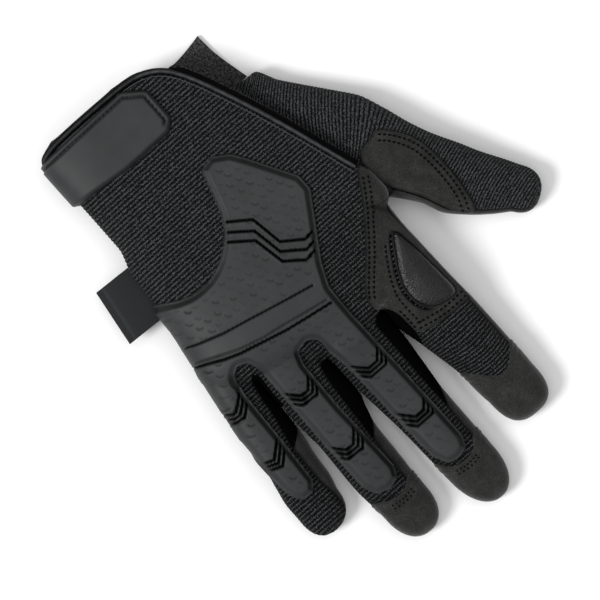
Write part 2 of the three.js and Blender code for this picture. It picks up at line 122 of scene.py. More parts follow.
def between(table, where):
    """Values between the rows of a two-column table: cubic pieces whose slope at a row is the harmonic
    mean of the steps beside it, so nothing overshoots. Outside the table the end values hold."""
    at, values = np.array(table, float).T
    step = np.diff(at)
    slope = np.diff(values) / step
    product = slope[:-1] * slope[1:]
    total = slope[:-1] + slope[1:]
    inner = np.divide(2 * product, total, out=np.zeros_like(total), where=product > 0)
    tangent = np.concatenate([slope[:1], inner, slope[-1:]])
    where = np.asarray(where, float)
    i = np.clip(np.searchsorted(at, where) - 1, 0, len(step) - 1)
    t = np.clip((where - at[i]) / step[i], 0, 1)
    rise = (3 - 2 * t) * t * t
    curve = (t - 1) ** 2 * t * step[i] * tangent[i] + (t - 1) * t * t * step[i] * tangent[i + 1]
    return values[i] * (1 - rise) + values[i + 1] * rise + curve


class Tube:
    """The hand or a digit: sections across a line. Each section is a superellipse, whose height over
    its widest line is (1 - share^n)^(1/n), where share is how far out from its crest a point lies.
    crest is the crest's share of the width, and left, right and under are the powers n. tip is the
    length of the round end, point its power and lean its shift to the right. pivot and turn place the
    tube's own frame."""

    def __init__(
        self, rows, crest, left, right, under, tip=0.0, lean=0.0, point=2.4, pivot=(0.0, 0.0), turn=0.0
    ):
        self.columns = np.array(rows, float).T
        self.first = self.columns[0][0]
        self.last = self.columns[0][-1]
        self.crest = crest
        self.powers = (left, right, under)
        self.tip = tip
        self.point = point
        self.lean = lean
        self.pivot = pivot
        self.cos = math.cos(turn)
        self.sin = math.sin(turn)

    @property
    def end(self):
        return self.last + self.tip

    def taper(self, along):
        """How far into the round end places lie, as a share of it, and how much of the full width is
        left there."""
        share = np.clip((along - self.last) / self.tip, 0, 1)
        return share, (1 - share**self.point) ** (1 / self.point)

    def sizes(self, along):
        """Left, right, top and underside at places along the tube. Past the last row they shrink to a
        round tip by (1 - share^n)^(1/n)."""
        at = self.columns[0]
        left, right, top, under = (
            between(np.stack([at, column], axis=1), along) for column in self.columns[1:]
        )
        if self.tip:
            share, size = self.taper(along)
            middle = under + WAIST * (top - under)
            centre = (left + right) / 2
            place = centre + self.lean * share
            left, right = place + (left - centre) * size, place + (right - centre) * size
            top, under = middle + (top - middle) * size, middle - (middle - under) * size
        return left, right, top, under

    def left(self, along):
        return self.sizes(along)[0]

    def right(self, along):
        return self.sizes(along)[1]

    def world(self, side, along):
        """From the tube's own frame to x and y."""
        x = side * self.cos - along * self.sin + self.pivot[0]
        y = side * self.sin + along * self.cos + self.pivot[1]
        return x, y

    def local(self, x, y):
        """From x and y to the tube's own frame."""
        dx = x - self.pivot[0]
        dy = y - self.pivot[1]
        return dx * self.cos + dy * self.sin, dy * self.cos - dx * self.sin

    def height(self, x, y, back):
        """The height of the back or of the palm side over a point. Outside the outline it runs on
        steeply, so that tubes blend."""
        side, along = self.local(x, y)
        left, right, top, under = self.sizes(along)
        middle = under + WAIST * (top - under)
        crest = left + self.crest * (right - left)
        out = np.abs(side - crest)
        half = np.where(side < crest, crest - left, right - crest)
        share = np.clip(out / np.maximum(half, 1e-6), 0, 1)
        past = np.maximum(out - half, 0) + np.maximum(along - self.end, 0)
        fall = STEEP * past + HEEL_FALL * np.maximum(self.first - along, 0)
        if back:
            power = np.where(side < crest, self.powers[0], self.powers[1])
            return middle + (1 - share**power) ** (1 / power) * (top - middle) - fall
        power = self.powers[2]
        depth = (1 - share**power) ** (1 / power) * (middle - under + UNDER_FLAT)
        return np.maximum(under, middle - depth) + fall


# Each row: along, left, right, top, underside
INDEX = Tube(
    [
        (-4, -31, -6, 25, 1),
        (20, -31.6, -0.5, 24.5, 2),
        (34, -32, -0.6, 23, 2.8),
        (50, -32.8, -3.8, 20.5, 3),
        (72, -33, -8, 17.8, 1.2),
        (82, -32.8, -8.8, 16.7, 0),
        (86, -32.7, -9.4, 16.1, 0),
    ],
    crest=0.5,
    left=2.8,
    right=2.4,
    under=3.2,
    tip=15.8,
    lean=-0.4,
    point=2.8,
)
MIDDLE = Tube(
    [
        (4, 0.5, 29.4, 27, 1),
        (28, -1.2, 29.4, 25, 3),
        (42, -0.5, 29.2, 22.5, 4),
        (57, 0.9, 27.9, 20.4, 4),
        (70, 2, 26.7, 19, 3),
        (93, 2.2, 25.6, 16.8, 0),
        (100, 2.6, 25, 15.9, 0),
    ],
    crest=0.56,
    left=2.1,
    right=3.2,
    under=3.2,
    tip=18.7,
    lean=-0.6,
    point=2.15,
)
RING = Tube(
    [
        (2, 29.4, 58, 26, 1),
        (26, 29, 58, 24, 3),
        (45, 29, 57.6, 21.5, 4),
        (53, 31.2, 57, 20.5, 3.5),
        (62, 33.2, 57.3, 19.5, 3),
        (76, 33.8, 57.7, 18, 1),
        (94, 35, 56, 15.6, 0),
    ],
    crest=0.57,
    left=2.1,
    right=3.2,
    under=3.2,
    tip=15.7,
    lean=-0.3,
    point=2.3,
)
LITTLE = Tube(
    [
        (-14, 56, 71.3, 21, 1),
        (8, 57.5, 74.9, 21.5, 2),
        (28, 58.2, 77.9, 20, 3),
        (43, 58.8, 80, 18.5, 2.5),
        (54, 60.5, 82.4, 17.5, 1),
        (64, 61.4, 84, 16, 0),
        (70.6, 63.1, 84, 14.8, 0),
    ],
    crest=0.6,
    left=2.1,
    right=3.2,
    under=3.2,
    tip=13.2,
    lean=0.8,
)
THUMB = Tube(
    [
        (-47, -10.8, 6, 8.9, 3),
        (-42, -15.8, 6, 13, 0),
        (-32, -14.2, 12, 16, 0),
        (-14, -14.5, 19, 18.5, 0),
        (0, -14.8, 25, 20, 0.5),
        (13, -11.8, 27, 21, 1),
        (25, -7.8, 24.4, 21, 2),
        (36, -5.2, 24.2, 20.5, 2.5),
        (47, -3.7, 26.4, 19.5, 2),
        (57, -2, 25.2, 18.5, 1),
        (67, -1, 22.8, 17, 0),
        (75, 0, 20, 15, 0),
    ],
    crest=0.42,
    left=2.4,
    right=2.2,
    under=3,
    tip=10.4,
    lean=0.5,
    pivot=(-40, -40),
    turn=math.atan2(0.6, 0.8),
)
HAND = Tube(
    [
        (-118.4, 0.6, 65.4, 23.5, 2.3),
        (-106, -5, 65.6, 23.5, 2.3),
        (-82.5, -15.6, 65.4, 24.4, 2.3),
        (-79, -17, 65.4, 24.6, 0),
        (-66, -21.8, 65.4, 26, 0),
        (-52, -26.4, 68.8, 27.5, 0),
        (-38, -31, 69.2, 28.5, 0),
        (-25, -34.8, 69.7, 29, 0),
        (-12, -35.2, 71.4, 29, 0.5),
        (-8, -34.1, 72, 28.8, 0.7),
        (-5.5, -31.8, 72.6, 28.7, 0.8),
        (0, -31.4, 73.8, 28.5, 1),
        (9, -31, 71, 27.5, 1.5),
        (17, -30.5, 52, 26, 2),
        (23, -28, 42, 24, 2.5),
        (27, -24, 36, 17, 3),
    ],
    crest=0.52,
    left=4.5,
    right=3,
    under=4.5,
)
TUBES = (HAND, INDEX, MIDDLE, RING, LITTLE, THUMB)

# Seams and edges: two-column tables of x at places in y, unless a comment says otherwise
MOUTH_LEFT = [(-117.3, 24), (-116.4, 14), (-113.2, 6.3), (-109.5, 1.2), (-105.5, -2.9)]
MOUTH_RIGHT = [(-117.3, 57), (-116.2, 62), (-114.5, 65), (-112, 65.6)]
BINDING_SIDE = [
    (-116, 25), (-114, 13), (-110.2, 5), (-104.6, -1.2), (-94.5, -6.8), (-81.5, -12.2),
    (-68, -17.4), (-54, -22.3), (-39, -27.2), (-25.5, -31.6),
]
CROTCH_SIDE = -35.6
MOUTH_ROW = -117.3  # the hand's first row
# Rows over which one seam hands over to the next, from the mouth up
MOUTH_TO_FLANK = (-108, -105)
FLANK_TO_BINDING = (-91, -87)
BINDING_TO_CROTCH = (-26, -23)
CROTCH_TO_INDEX = (-7.5, -3)
RIGHT_MOUTH_TO_FLANK = (-115, -112.5)
INDEX_LIP_TO_FLANK = (50, 56)
LIP_TO_FLANK = (30, 36)
# How far past the binding's line the cloth runs in under it
BACK_UNDER_BINDING = 1.0
PALM_UNDER_BINDING = 2.6
# The lines that part the back's knit into a group of columns for each finger
GROUP_LINES = (
    [(-118.4, 30), (-40, 3), (0, -1), (26.25, 0)],
    [(-118.4, 41), (-40, 33), (26.25, 32.3)],
    [(-118.4, 52), (-40, 55), (11.4, 58.3)],
)
SPLIT = 26.25  # where the fingers part
SPLIT_LITTLE = 11.375  # and where the little one parts from the ring finger
STRETCH_FIRST = 26.6  # first row of the strips between the fingers
WEB_TOP = 30.0
# The lips of the slits between the fingers: the left one on the finger nearer the thumb
LIPS_LEFT = (
    [(26.25, 0), (27.2, -2), (29, -4), (32, -4.9), (42, -4.6), (50, -3.4)],
    [(26.25, 32.3), (27.6, 31.2), (30, 30.2), (34, 29.4)],
    [(11.4, 58.3), (12.4, 57.3), (15, 57), (20, 57.3)],
)
LIPS_RIGHT = (
    [(26.25, 0), (27.2, 2.2), (29, 4.2), (31, 5.2), (60, 5.2), (76, 5), (95, 5.4)],
    [(26.25, 32.3), (27.6, 33.5), (30, 34.5), (35, 35.4), (45, 36.2), (60, 37), (75, 38), (92, 38.2)],
    [
        (11.4, 58.3), (12.4, 59.3), (16, 60), (20, 60.8), (30, 62.3), (40, 64.4), (47, 65.6),
        (60, 66), (72, 65),
    ],
)
# Where the suede of the palm side climbs a finger's flank: from, at the widest line, at the seam
CLIMBS = ((50, 61, 77), (50, 56, 66), (33, 38, 47))
# Where in x the sections of neighbouring fingers meet
FINGER_LIMITS = (-0.85, 29.3, 58.1)
# Where each finger's knit and suede end in y, tucked under what is laid on them
KNIT_TOPS = (33.25, 100.625, 94.0625, LITTLE.end)
SUEDE_TOPS = (84.0, 101.0, 95.0, LITTLE.end)
# The thumb's seam on the hand, in the thumb's own frame: along, side
THUMB_SEAM = [
    (-57, -4.5), (-49.9, -2.7), (-36, 1.3), (-21.8, 5.8), (-6.9, 10.8), (6.6, 15.4), (11, 13.7),
    (19.8, 20.3), (24, 24.7),
]
# How far in from the thumb's inner edge its suede folds over
THUMB_WRAP = [(24, 4.6), (45, 3.2), (60, 1.6), (80, 0.9)]

# The seam between the thumb's suede and the index finger's: x at places in y
CROTCH_SEAM = [
    (-26.5, -33.4), (-24.5, -33.6), (-20, -34.9), (-14, -36.2), (-10.5, -37.4), (-8.5, -37.7),
    (-7.3, -36.6),
]

# Lines and outlines seen from above: x, y
BINDING_LINE = [
    (-31.6, -25.5), (-27.2, -39), (-22.3, -54), (-17.4, -68), (-12.2, -81.5), (-6.8, -94.5),
    (-1.4, -105), (4.2, -111.1), (12.5, -114.9), (25, -115.9), (45, -116.1), (58, -115.7),
    (64, -114.3), (65.3, -112.6),
]
GUARD_OUTLINE = [
    (11, -68.5), (18, -67), (21.5, -55), (23.6, -48), (27, -42), (31, -37.6), (35.5, -34),
    (40.5, -31.5), (45.5, -30.1), (50.5, -29.8), (55.5, -30.4), (60.5, -32.3), (66, -35.6),
    (71, -39), (90, -36), (90, 22), (80.2, 30), (79.6, 36), (79.7, 44), (80, 52), (80, 57),
    (79.3, 61), (77, 65), (71.5, 65.3), (68.2, 61), (66.8, 40), (65.8, 14), (63.8, 7), (60.3, 4.7),
    (56.3, 6.2), (54, 12), (54.5, 50), (54.3, 78), (52, 83.5), (46.5, 85.6), (41, 84), (38.9, 79),
    (39.6, 45), (39.1, 22), (36.8, 16.3), (31.5, 15.4), (28, 18), (26, 32), (24.6, 66), (23.6, 87),
    (21, 93.5), (16, 95), (11, 93.5), (8.9, 88), (9.3, 52), (10, 22), (9.5, 5), (5, -5),
    (-11.7, -31), (-11.6, -38), (0, -58), (4, -64),
]
# The outermost of the three flex lines in each chevron, its ends run on past the guard's border
CHEVRONS = (
    [(2, 60.5), (12.4, 73.2), (20, 73.2), (30, 61)],
    [(2, 30.8), (13.4, 44.7), (21.2, 44.6), (31, 34)],
    [(34, 52.3), (44, 64.7), (51, 64.2), (61, 52.2)],
    [(33, 22.6), (43.4, 35.2), (50.2, 34.7), (60, 23.6)],
    [(62, 37), (73.8, 48.4), (80.2, 45.6), (90, 37)],
    [(60, 11.6), (72, 22.5), (75.6, 22), (88, 9.6)],
)
ZIGZAGS = (
    [(3, -10.6), (9.3, -9.8), (17.3, -15.8), (20, -29.7), (32, -39)],
    [(-1, -14), (6.3, -12.8), (15.3, -19.5), (17.7, -33), (30, -42.7)],
    [(-3.4, -17.3), (4, -16.5), (12.7, -22.7), (15, -37), (28, -46.3)],
)
# The raised band across the knuckles: its lower edge, a thin line and its upper edge
BAND_LOW = [(14.5, -0.2), (25, -2.5), (40, -6), (55, -9.5), (65, -12.8), (69.5, -14.6)]
BAND_THIN = [(14, 8), (25, 6), (35, 4), (45, 2.5), (55, -0.3), (65, -4.5), (74, -9)]
BAND_HIGH = [(13.5, 10.2), (25, 8.3), (35, 6.5), (45, 4), (55, 1.5), (62, -1), (70, -5), (80, -10.5)]
INDEX_PATCH = [
    (-60, 47.3), (-20, 47.3), (-13, 46.2), (-8, 45.1), (-5.8, 43.6), (-5.2, 38), (-5, 33),
    (-3.4, 28.5), (-1, 26.4), (1, 25.5), (2.4, 21), (-1, 15), (-11, 4.5), (-19, -5.5), (-25, -13.5),
    (-30.8, -24.4), (-36.2, -26), (-60, -10),
]
INDEX_PAD = [
    (-25.2, 5.1), (-26.3, 8), (-27.2, 16), (-28.1, 28), (-28.8, 38), (-28.4, 41.5), (-25.6, 42.4),
    (-20, 41.4), (-15.8, 38.8), (-13.5, 34.2), (-13.1, 29), (-13.9, 24.2), (-16.6, 18.4),
    (-20.1, 12.6), (-23.1, 7.9),
]
THUMB_PATCH = [
    (-52.6, 19), (-58.3, 22.4), (-60.2, 13), (-61, 0), (-60, -12), (-57.5, -20), (-52.5, -27.5),
    (-47.5, -32), (-45, -30), (-38, -29.6), (-33.8, -24), (-35.8, -13), (-37.4, -8.4), (-42, -1.8),
    (-45.8, 5), (-48, 11),
]
TAB_OUTLINE = [
    (12.5, -91.6), (16.8, -87.6), (40, -87.3), (80, -91.2), (80, -112.9), (21.5, -114),
    (12.5, -107.2),
]
TIP_NAMES = ("index_tip", "middle_tip", "ring_tip")
TIP_OUTLINES = {
    "index_tip": [
        (-40, 70), (-33, 71), (-28, 77), (-24, 80.3), (-18, 80), (-14, 75), (-9, 69.5), (-4, 67),
        (-4, 110), (-40, 110),
    ],
    "middle_tip": [
        (-2, 88), (5.8, 91.5), (8.5, 95.6), (12, 97.4), (19, 97), (23, 93.8), (25, 90), (31, 89),
        (31, 125), (-2, 125),
    ],
    "ring_tip": [
        (30, 85), (37.8, 86.5), (40.5, 89), (45, 90.2), (50, 89.4), (54, 86.5), (60, 85), (60, 116),
        (30, 116),
    ],
}


def blended(heights, sign):
    """Soft highest or lowest of several heights: T log of the sum of exp(height / T)."""
    stack = np.stack(heights) * sign
    peak = stack.max(axis=0)
    return sign * (peak + BLEND * np.log(np.exp((stack - peak) / BLEND).sum(axis=0)))


def sway(x, y):
    """Slight unevenness of the cloth: three long waves across each other, 0.25 mm high in all."""
    return (
        0.1 * np.sin(x / 9.1 + y / 15.3)
        + 0.08 * np.sin(x / 6.2 - y / 8.7 + 1.3)
        + 0.07 * np.sin(x / 17.0 + y / 5.9 + 2.1)
    )


def back_height(x, y):
    """Height of the glove's back over a point: the tubes' backs, blended."""
    return blended([tube.height(x, y, True) for tube in TUBES], 1) + sway(x, y)


def palm_height(x, y):
    """Height of the palm side over a point, which never goes below the surface it lies on."""
    return np.maximum(blended([tube.height(x, y, False) for tube in TUBES], -1), 0.0)


# Sections all round, cut into strips between seams


class Rings:
    """Sections of the glove as polylines, one for each row. With over true they run from the middle
    of the palm round the left flank, over the back and round the right flank to the palm again.
    Otherwise they run from the middle of the back over the right flank, under the palm and up the
    left flank. Samples crowd towards steep places as the cube of a share."""

    CROWD = np.linspace(0, 1, 18) ** 3
    REACH = 9.0
    VALLEY = 3.0

    def __init__(self, along, left, right, over=True, tube=None, edges=(), count=90):
        self.along = np.asarray(along, float)
        self.tube = tube
        width = (right - left)[:, None]
        reach = np.minimum(self.REACH, width / 2)
        low = left[:, None]
        high = right[:, None]
        parts = [low + reach * self.CROWD, high - reach * self.CROWD]
        parts.append(low + width * np.linspace(0, 1, count))
        for edge in edges:
            parts.append(np.clip(edge[:, None] + self.VALLEY * self.CROWD, low, high))
            parts.append(np.clip(edge[:, None] - self.VALLEY * self.CROWD, low, high))
        side = np.sort(np.concatenate(parts, axis=1), axis=1)
        x, y = self.place(side, self.along[:, None] + 0 * side)
        upper = back_height(x, y)
        lower = np.minimum(palm_height(x, y), upper)
        half = side.shape[1] // 2
        pieces = {
            "upper_left": (side[:, :half], upper[:, :half]),
            "upper_right": (side[:, half:], upper[:, half:]),
            "lower_right": (side[:, half:][:, ::-1], lower[:, half:][:, ::-1]),
            "lower_left": (side[:, :half][:, ::-1], lower[:, :half][:, ::-1]),
        }
        order = ["lower_left", "upper_left", "upper_right", "lower_right"]
        if not over:
            order = ["upper_right", "lower_right", "lower_left", "upper_left"]
        self.side = np.concatenate([pieces[name][0] for name in order], axis=1)
        self.z = np.concatenate([pieces[name][1] for name in order], axis=1)
        step = np.hypot(np.diff(self.side, axis=1), np.diff(self.z, axis=1))
        self.s = np.concatenate([np.zeros((len(step), 1)), np.cumsum(step, axis=1)], axis=1)
        self.spans = {}
        start = 0
        for name in order:
            size = pieces[name][0].shape[1]
            self.spans[name] = (start, start + size)
            start += size

    def place(self, side, along):
        return (side, along) if self.tube is None else self.tube.world(side, along)

    def find(self, name, axis, value):
        """How far along each section one of its quarters reaches a side or a height, the height that
        is met first from the flank."""
        first, last = self.spans[name]
        coordinate = (self.side if axis == "side" else self.z)[:, first:last]
        s = self.s[:, first:last]
        value = np.broadcast_to(value, len(s))
        found = np.empty(len(s))
        for row in range(len(s)):
            track = coordinate[row]
            length = s[row]
            if track[0] > track[-1]:
                track = track[::-1]
                length = length[::-1]
            found[row] = np.interp(value[row], np.minimum.accumulate(track[::-1])[::-1], length)
        return found

    def over(self, side):
        """The place of a side on the back."""
        first = self.spans["upper_left"][1]
        border = self.side[:, first - 1]
        left = self.find("upper_left", "side", side)
        right = self.find("upper_right", "side", side)
        return np.where(side <= border, left, right)

    def under(self, side):
        """The place of a side on the palm."""
        border = self.side[:, self.spans["lower_left"][0]]
        left = self.find("lower_left", "side", side)
        right = self.find("lower_right", "side", side)
        return np.where(side <= border, left, right)

    def left_edge(self):
        """The place of the widest point on the left."""
        return self.s[:, self.spans["upper_left"][0]]

    def strip(self, start, end, columns, origin):
        """A grid of points from one place on each section to another. u is the length round the
        section from an origin, and v is along the tube."""
        share = np.linspace(0, 1, columns)
        end = np.maximum(start, end)
        s = start[:, None] + (end - start)[:, None] * share
        side = np.stack([np.interp(a, b, c) for a, b, c in zip(s, self.s, self.side)])
        z = np.stack([np.interp(a, b, c) for a, b, c in zip(s, self.s, self.z)])
        along = self.along[:, None] + 0 * s
        x, y = self.place(side, along)
        points = np.stack([x, y, z], axis=2)
        u = s - self.over(origin)[:, None] + np.broadcast_to(origin, len(s))[:, None]
        grid = Grid(points, u, along, s - start[:, None], end[:, None] - s)
        if self.tube is not None:
            grid.ahead = (-self.tube.sin, self.tube.cos, 0.0)
        return grid


class Grid:
    """A grid of points with what the reliefs and patterns need at each: u and v in millimetres, and
    the distances from the first and the last column."""

    def __init__(self, points, u, v, from_start, from_end):
        self.points = points
        self.u = u
        self.v = v
        self.from_start = from_start
        self.from_end = from_end
        self.kept = np.ones((points.shape[0] - 1, points.shape[1] - 1), bool)
        self.mark = 0.0
        # shade: painted shade, how far the colour is mixed towards near-black where shade falls
        self.shade = 0.0
        self.ahead = (0.0, 1.0, 0.0)

    @property
    def x(self):
        return self.points[..., 0]

    @property
    def y(self):
        return self.points[..., 1]

    def stacked(self, other, axis):
        """This grid with another one that carries on from it."""
        joined = [
            np.concatenate([a, b], axis=axis)
            for a, b in (
                (self.points, other.points),
                (self.u, other.u),
                (self.v, other.v),
                (self.from_start, other.from_start),
                (self.from_end, other.from_end),
            )
        ]
        return Grid(*joined)

    def trimmed(self, inside):
        """Keeps the cells inside an outline and slides the points of the rim onto it. inside gives
        the distance to the outline, and a rim point moves against its gradient on the grid."""
        value = inside(self.points)
        centre = (value[:-1, :-1] + value[1:, :-1] + value[:-1, 1:] + value[1:, 1:]) / 4
        self.kept = self.kept & (centre > 0)
        around = np.zeros(value.shape)
        whole = np.zeros(value.shape)
        for rows in (slice(0, -1), slice(1, None)):
            for columns in (slice(0, -1), slice(1, None)):
                around[rows, columns] += self.kept
                whole[rows, columns] += 1
        rim = (around > 0) & (around < whole)
        by_row, by_column = np.gradient(self.points, axis=(0, 1))
        for _ in range(2):
            value = inside(self.points)
            slope_row, slope_column = np.gradient(value)
            steep = np.maximum(slope_row**2 + slope_column**2, 1e-4)
            step_row = np.clip(-value * slope_row / steep, -1, 1)[..., None]
            step_column = np.clip(-value * slope_column / steep, -1, 1)[..., None]
            moved = self.points + by_row * step_row + by_column * step_column
            self.points = np.where(rim[..., None], moved, self.points)

    def cut_to(self, outline):
        """Trims the grid to an outline seen from above, and gives each point's distance inside it."""
        self.trimmed(lambda p: inside_distance(p[..., 0], p[..., 1], outline))
        return inside_distance(self.x, self.y, outline)

    def normals(self):
        """Unit normals: the cross product of the grid's two directions. At a pole, where one of them
        vanishes, it is the tube's own direction."""
        by_row, by_column = np.gradient(self.points, axis=(0, 1))
        normal = np.cross(by_column, by_row)
        size = np.linalg.norm(normal, axis=2, keepdims=True)
        unit = normal / np.maximum(size, 1e-9)
        weak = self.u.max(axis=1) - self.u.min(axis=1) < 0.5
        unit[weak] = self.ahead
        return unit

    def quads(self):
        """The kept cells as four corners each, counter-clockwise seen from outside."""
        rows, columns = self.u.shape
        index = np.arange(rows * columns).reshape(rows, columns)
        cells = np.stack([index[:-1, :-1], index[:-1, 1:], index[1:, 1:], index[1:, :-1]], axis=2)
        return cells[self.kept]


# Distances to outlines and lines seen from above


def rounded(outline, times=2, closed=True, most=9.0):
    """An outline with its corners cut off, twice over: at a quarter of each side, or at most a
    length from its corners."""
    points = np.array(outline, float)
    for number in range(times):
        after = np.roll(points, -1, axis=0) if closed else points[1:]
        before = points if closed else points[:-1]
        length = np.hypot(*(after - before).T)[:, None]
        share = np.minimum(0.25, most / 2.6**number / np.maximum(length, 1e-6))
        cut = np.stack([before + (after - before) * share, after - (after - before) * share], axis=1)
        cut = cut.reshape(-1, 2)
        points = cut if closed else np.vstack([points[:1], cut, points[-1:]])
    return points


def line_distance(x, y, line, closed=False):
    """Distance from points to the nearest stretch of a line of straight stretches."""
    points = np.array(line, float)
    ends = np.roll(points, -1, axis=0) if closed else points[1:]
    starts = points if closed else points[:-1]
    best = np.full(np.shape(x), 1e9)
    for (x0, y0), (x1, y1) in zip(starts, ends):
        dx = x1 - x0
        dy = y1 - y0
        share = np.clip(((x - x0) * dx + (y - y0) * dy) / (dx * dx + dy * dy), 0, 1)
        best = np.minimum(best, np.hypot(x - x0 - share * dx, y - y0 - share * dy))
    return best


def inside_distance(x, y, outline):
    """Distance to a closed outline, positive inside. A point is inside if a ray to its right
    crosses the outline an odd number of times."""
    points = np.array(outline, float)
    odd = np.zeros(np.shape(x), bool)
    for (x0, y0), (x1, y1) in zip(points, np.roll(points, -1, axis=0)):
        if y0 == y1:
            continue
        crosses = (y0 > y) != (y1 > y)
        odd ^= crosses & (x < x0 + (y - y0) * (x1 - x0) / (y1 - y0))
    distance = line_distance(x, y, points, closed=True)
    return np.where(odd, distance, -distance)


def path_points(line, spacing):
    """Points at even spacing along a smoothed line, with the unit tangent at each."""
    points = rounded(line, 3, closed=False)
    step = np.hypot(*np.diff(points, axis=0).T)
    s = np.concatenate([[0], np.cumsum(step)])
    at = np.linspace(0, s[-1], max(int(round(s[-1] / spacing)), 2) + 1)
    xy = np.stack([np.interp(at, s, points[:, 0]), np.interp(at, s, points[:, 1])], axis=1)
    tangent = np.gradient(xy, axis=0)
    return xy, tangent / np.linalg.norm(tangent, axis=1, keepdims=True)


def offset_line(line, by):
    """A line moved to its left by a distance."""
    xy, tangent = path_points(line, 1.0)
    return xy + by * np.stack([-tangent[:, 1], tangent[:, 0]], axis=1)


def back_normal(x, y):
    """Unit normals of the back, from its slopes over half a millimetre."""
    step = 0.25
    slope_x = (back_height(x + step, y) - back_height(x - step, y)) / (2 * step)
    slope_y = (back_height(x, y + step) - back_height(x, y - step)) / (2 * step)
    normal = np.stack([-slope_x, -slope_y, np.ones_like(slope_x)], axis=-1)
    return normal / np.linalg.norm(normal, axis=-1, keepdims=True)


# Closed meshes


def faces_of(quads):
    """Quads as they are, those with two corners in one as triangles, and nothing for the rest."""
    after = np.roll(quads, -1, axis=1)
    twin = quads == after
    folded = (quads[:, 0] == quads[:, 2]) | (quads[:, 1] == quads[:, 3])
    whole = quads[(twin.sum(axis=1) == 0) & ~folded]
    triangles = []
    for corner in range(4):
        chosen = quads[(twin.sum(axis=1) == 1) & twin[:, corner] & ~folded]
        triangles.append(np.delete(chosen, corner, axis=1))
    return whole, np.concatenate(triangles)


def welded(points, values=()):
    """Points merged where they lie within a thousandth of a millimetre: the first of each, the new
    index of every point, and values averaged over those merged."""
    key = np.round(points * 1000).astype(np.int64)
    _, first, index = np.unique(key, axis=0, return_index=True, return_inverse=True)
    index = index.reshape(-1)
    count = np.bincount(index).astype(float)
    means = []
    for value in values:
        flat = value.reshape(len(points), -1)
        total = np.stack([np.bincount(index, weights=column) for column in flat.T], axis=1)
        means.append(total / count[:, None])
    return points[first], index, means


def closed_sheet(grids, reliefs, wall, lift=0.0):
    """A closed sheet from grids that share their borders. The base is lifted along its normals. The
    outer side stands off it by the relief, the inner side lies a wall's thickness under it, and edges
    that only one cell uses are joined by rim faces."""
    points = np.concatenate([g.points.reshape(-1, 3) for g in grids])
    normals = np.concatenate([g.normals().reshape(-1, 3) for g in grids])
    zero = [0.0 * g.u for g in grids]
    finish = [np.stack([g.u, g.v, z + g.mark, z + g.shade], axis=2) for g, z in zip(grids, zero)]
    uv = np.concatenate([f.reshape(-1, 4) for f in finish])
    heights = np.concatenate([np.broadcast_to(r, g.u.shape).reshape(-1) for r, g in zip(reliefs, grids)])
    quads = []
    start = 0
    for g in grids:
        quads.append(g.quads() + start)
        start += g.u.size
    quads = np.concatenate(quads)
    base, index, (normal, height, flat) = welded(points, (normals, heights, uv))
    normal /= np.maximum(np.linalg.norm(normal, axis=1, keepdims=True), 1e-9)
    quads = index[quads]
    outer = base + normal * (lift + height)
    inner = base + normal * (lift - wall)
    inner[:, 2] = np.maximum(inner[:, 2], 0.02)
    outer[:, 2] = np.maximum(outer[:, 2], 0.0)
    return shell_between(outer, inner, quads, flat)


def shell_between(outer, inner, quads, uv):
    """The outer and inner sides of a sheet with rim faces where only one cell uses an edge."""
    count = len(outer)
    edges = np.concatenate([quads[:, [i, (i + 1) % 4]] for i in range(4)])
    edges = edges[edges[:, 0] != edges[:, 1]]
    low = edges.min(axis=1).astype(np.int64)
    high = edges.max(axis=1).astype(np.int64)
    _, first, uses = np.unique(low * count + high, return_index=True, return_counts=True)
    rim = edges[first[uses == 1]]
    sides = np.stack([rim[:, 1], rim[:, 0], rim[:, 0] + count, rim[:, 1] + count], axis=1)
    all_quads = np.concatenate([quads, quads[:, ::-1] + count, sides])
    return np.concatenate([outer, inner]), all_quads, np.concatenate([uv, uv])


def joined(surfaces):
    """Several surfaces as one set of points, quads and pattern coordinates."""
    points = []
    quads = []
    uvs = []
    start = 0
    for surface, faces, uv in surfaces:
        points.append(surface)
        quads.append(faces + start)
        uvs.append(uv)
        start += len(surface)
    return np.concatenate(points), np.concatenate(quads), np.concatenate(uvs)


def add_piece(name, surfaces, material, nodes, sharp=CLOTH_CREASE):
    """Puts surfaces into one mesh object that rides on the glove and stands for its CAD nodes."""
    points, quads, uv = joined(surfaces)
    used = np.unique(quads)
    renumber = np.zeros(len(points), np.int64)
    renumber[used] = np.arange(len(used))
    points = points[used]
    uv = uv[used]
    whole, triangles = faces_of(renumber[quads])
    loops = np.concatenate([whole.reshape(-1), triangles.reshape(-1)]).astype(np.int32)
    starts = np.concatenate([np.arange(len(whole)) * 4, len(whole) * 4 + np.arange(len(triangles)) * 3])
    mesh = bpy.data.meshes.new(name)
    mesh.vertices.add(len(points))
    mesh.vertices.foreach_set("co", (points * MM).astype(np.float32).reshape(-1))
    mesh.loops.add(len(loops))
    mesh.loops.foreach_set("vertex_index", loops)
    mesh.polygons.add(len(starts))
    mesh.polygons.foreach_set("loop_start", starts.astype(np.int32))
    mesh.update(calc_edges=True)
    mesh.validate()
    layer = mesh.uv_layers.new(name="cloth")
    corners = np.empty(len(mesh.loops), np.int32)
    mesh.loops.foreach_get("vertex_index", corners)
    layer.data.foreach_set("uv", uv[corners, :2].astype(np.float32).reshape(-1))
    for column, finish in ((2, "mark"), (3, "shade")):
        values = np.clip(uv[:, column], 0, 1).astype(np.float32)
        mesh.attributes.new(finish, "FLOAT", "POINT").data.foreach_set("value", values)
    mesh.polygons.foreach_set("use_smooth", np.ones(len(mesh.polygons), bool))
    mesh.set_sharp_from_angle(angle=math.radians(sharp))
    mesh.materials.append(material)
    piece = bpy.data.objects.new(name, mesh)
    bpy.context.scene.collection.objects.link(piece)
    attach(piece, "root")
    if nodes:
        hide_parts(*nodes)
    return piece


# Materials. A noise's scale is 1 over the size of its patches, in millimetres.


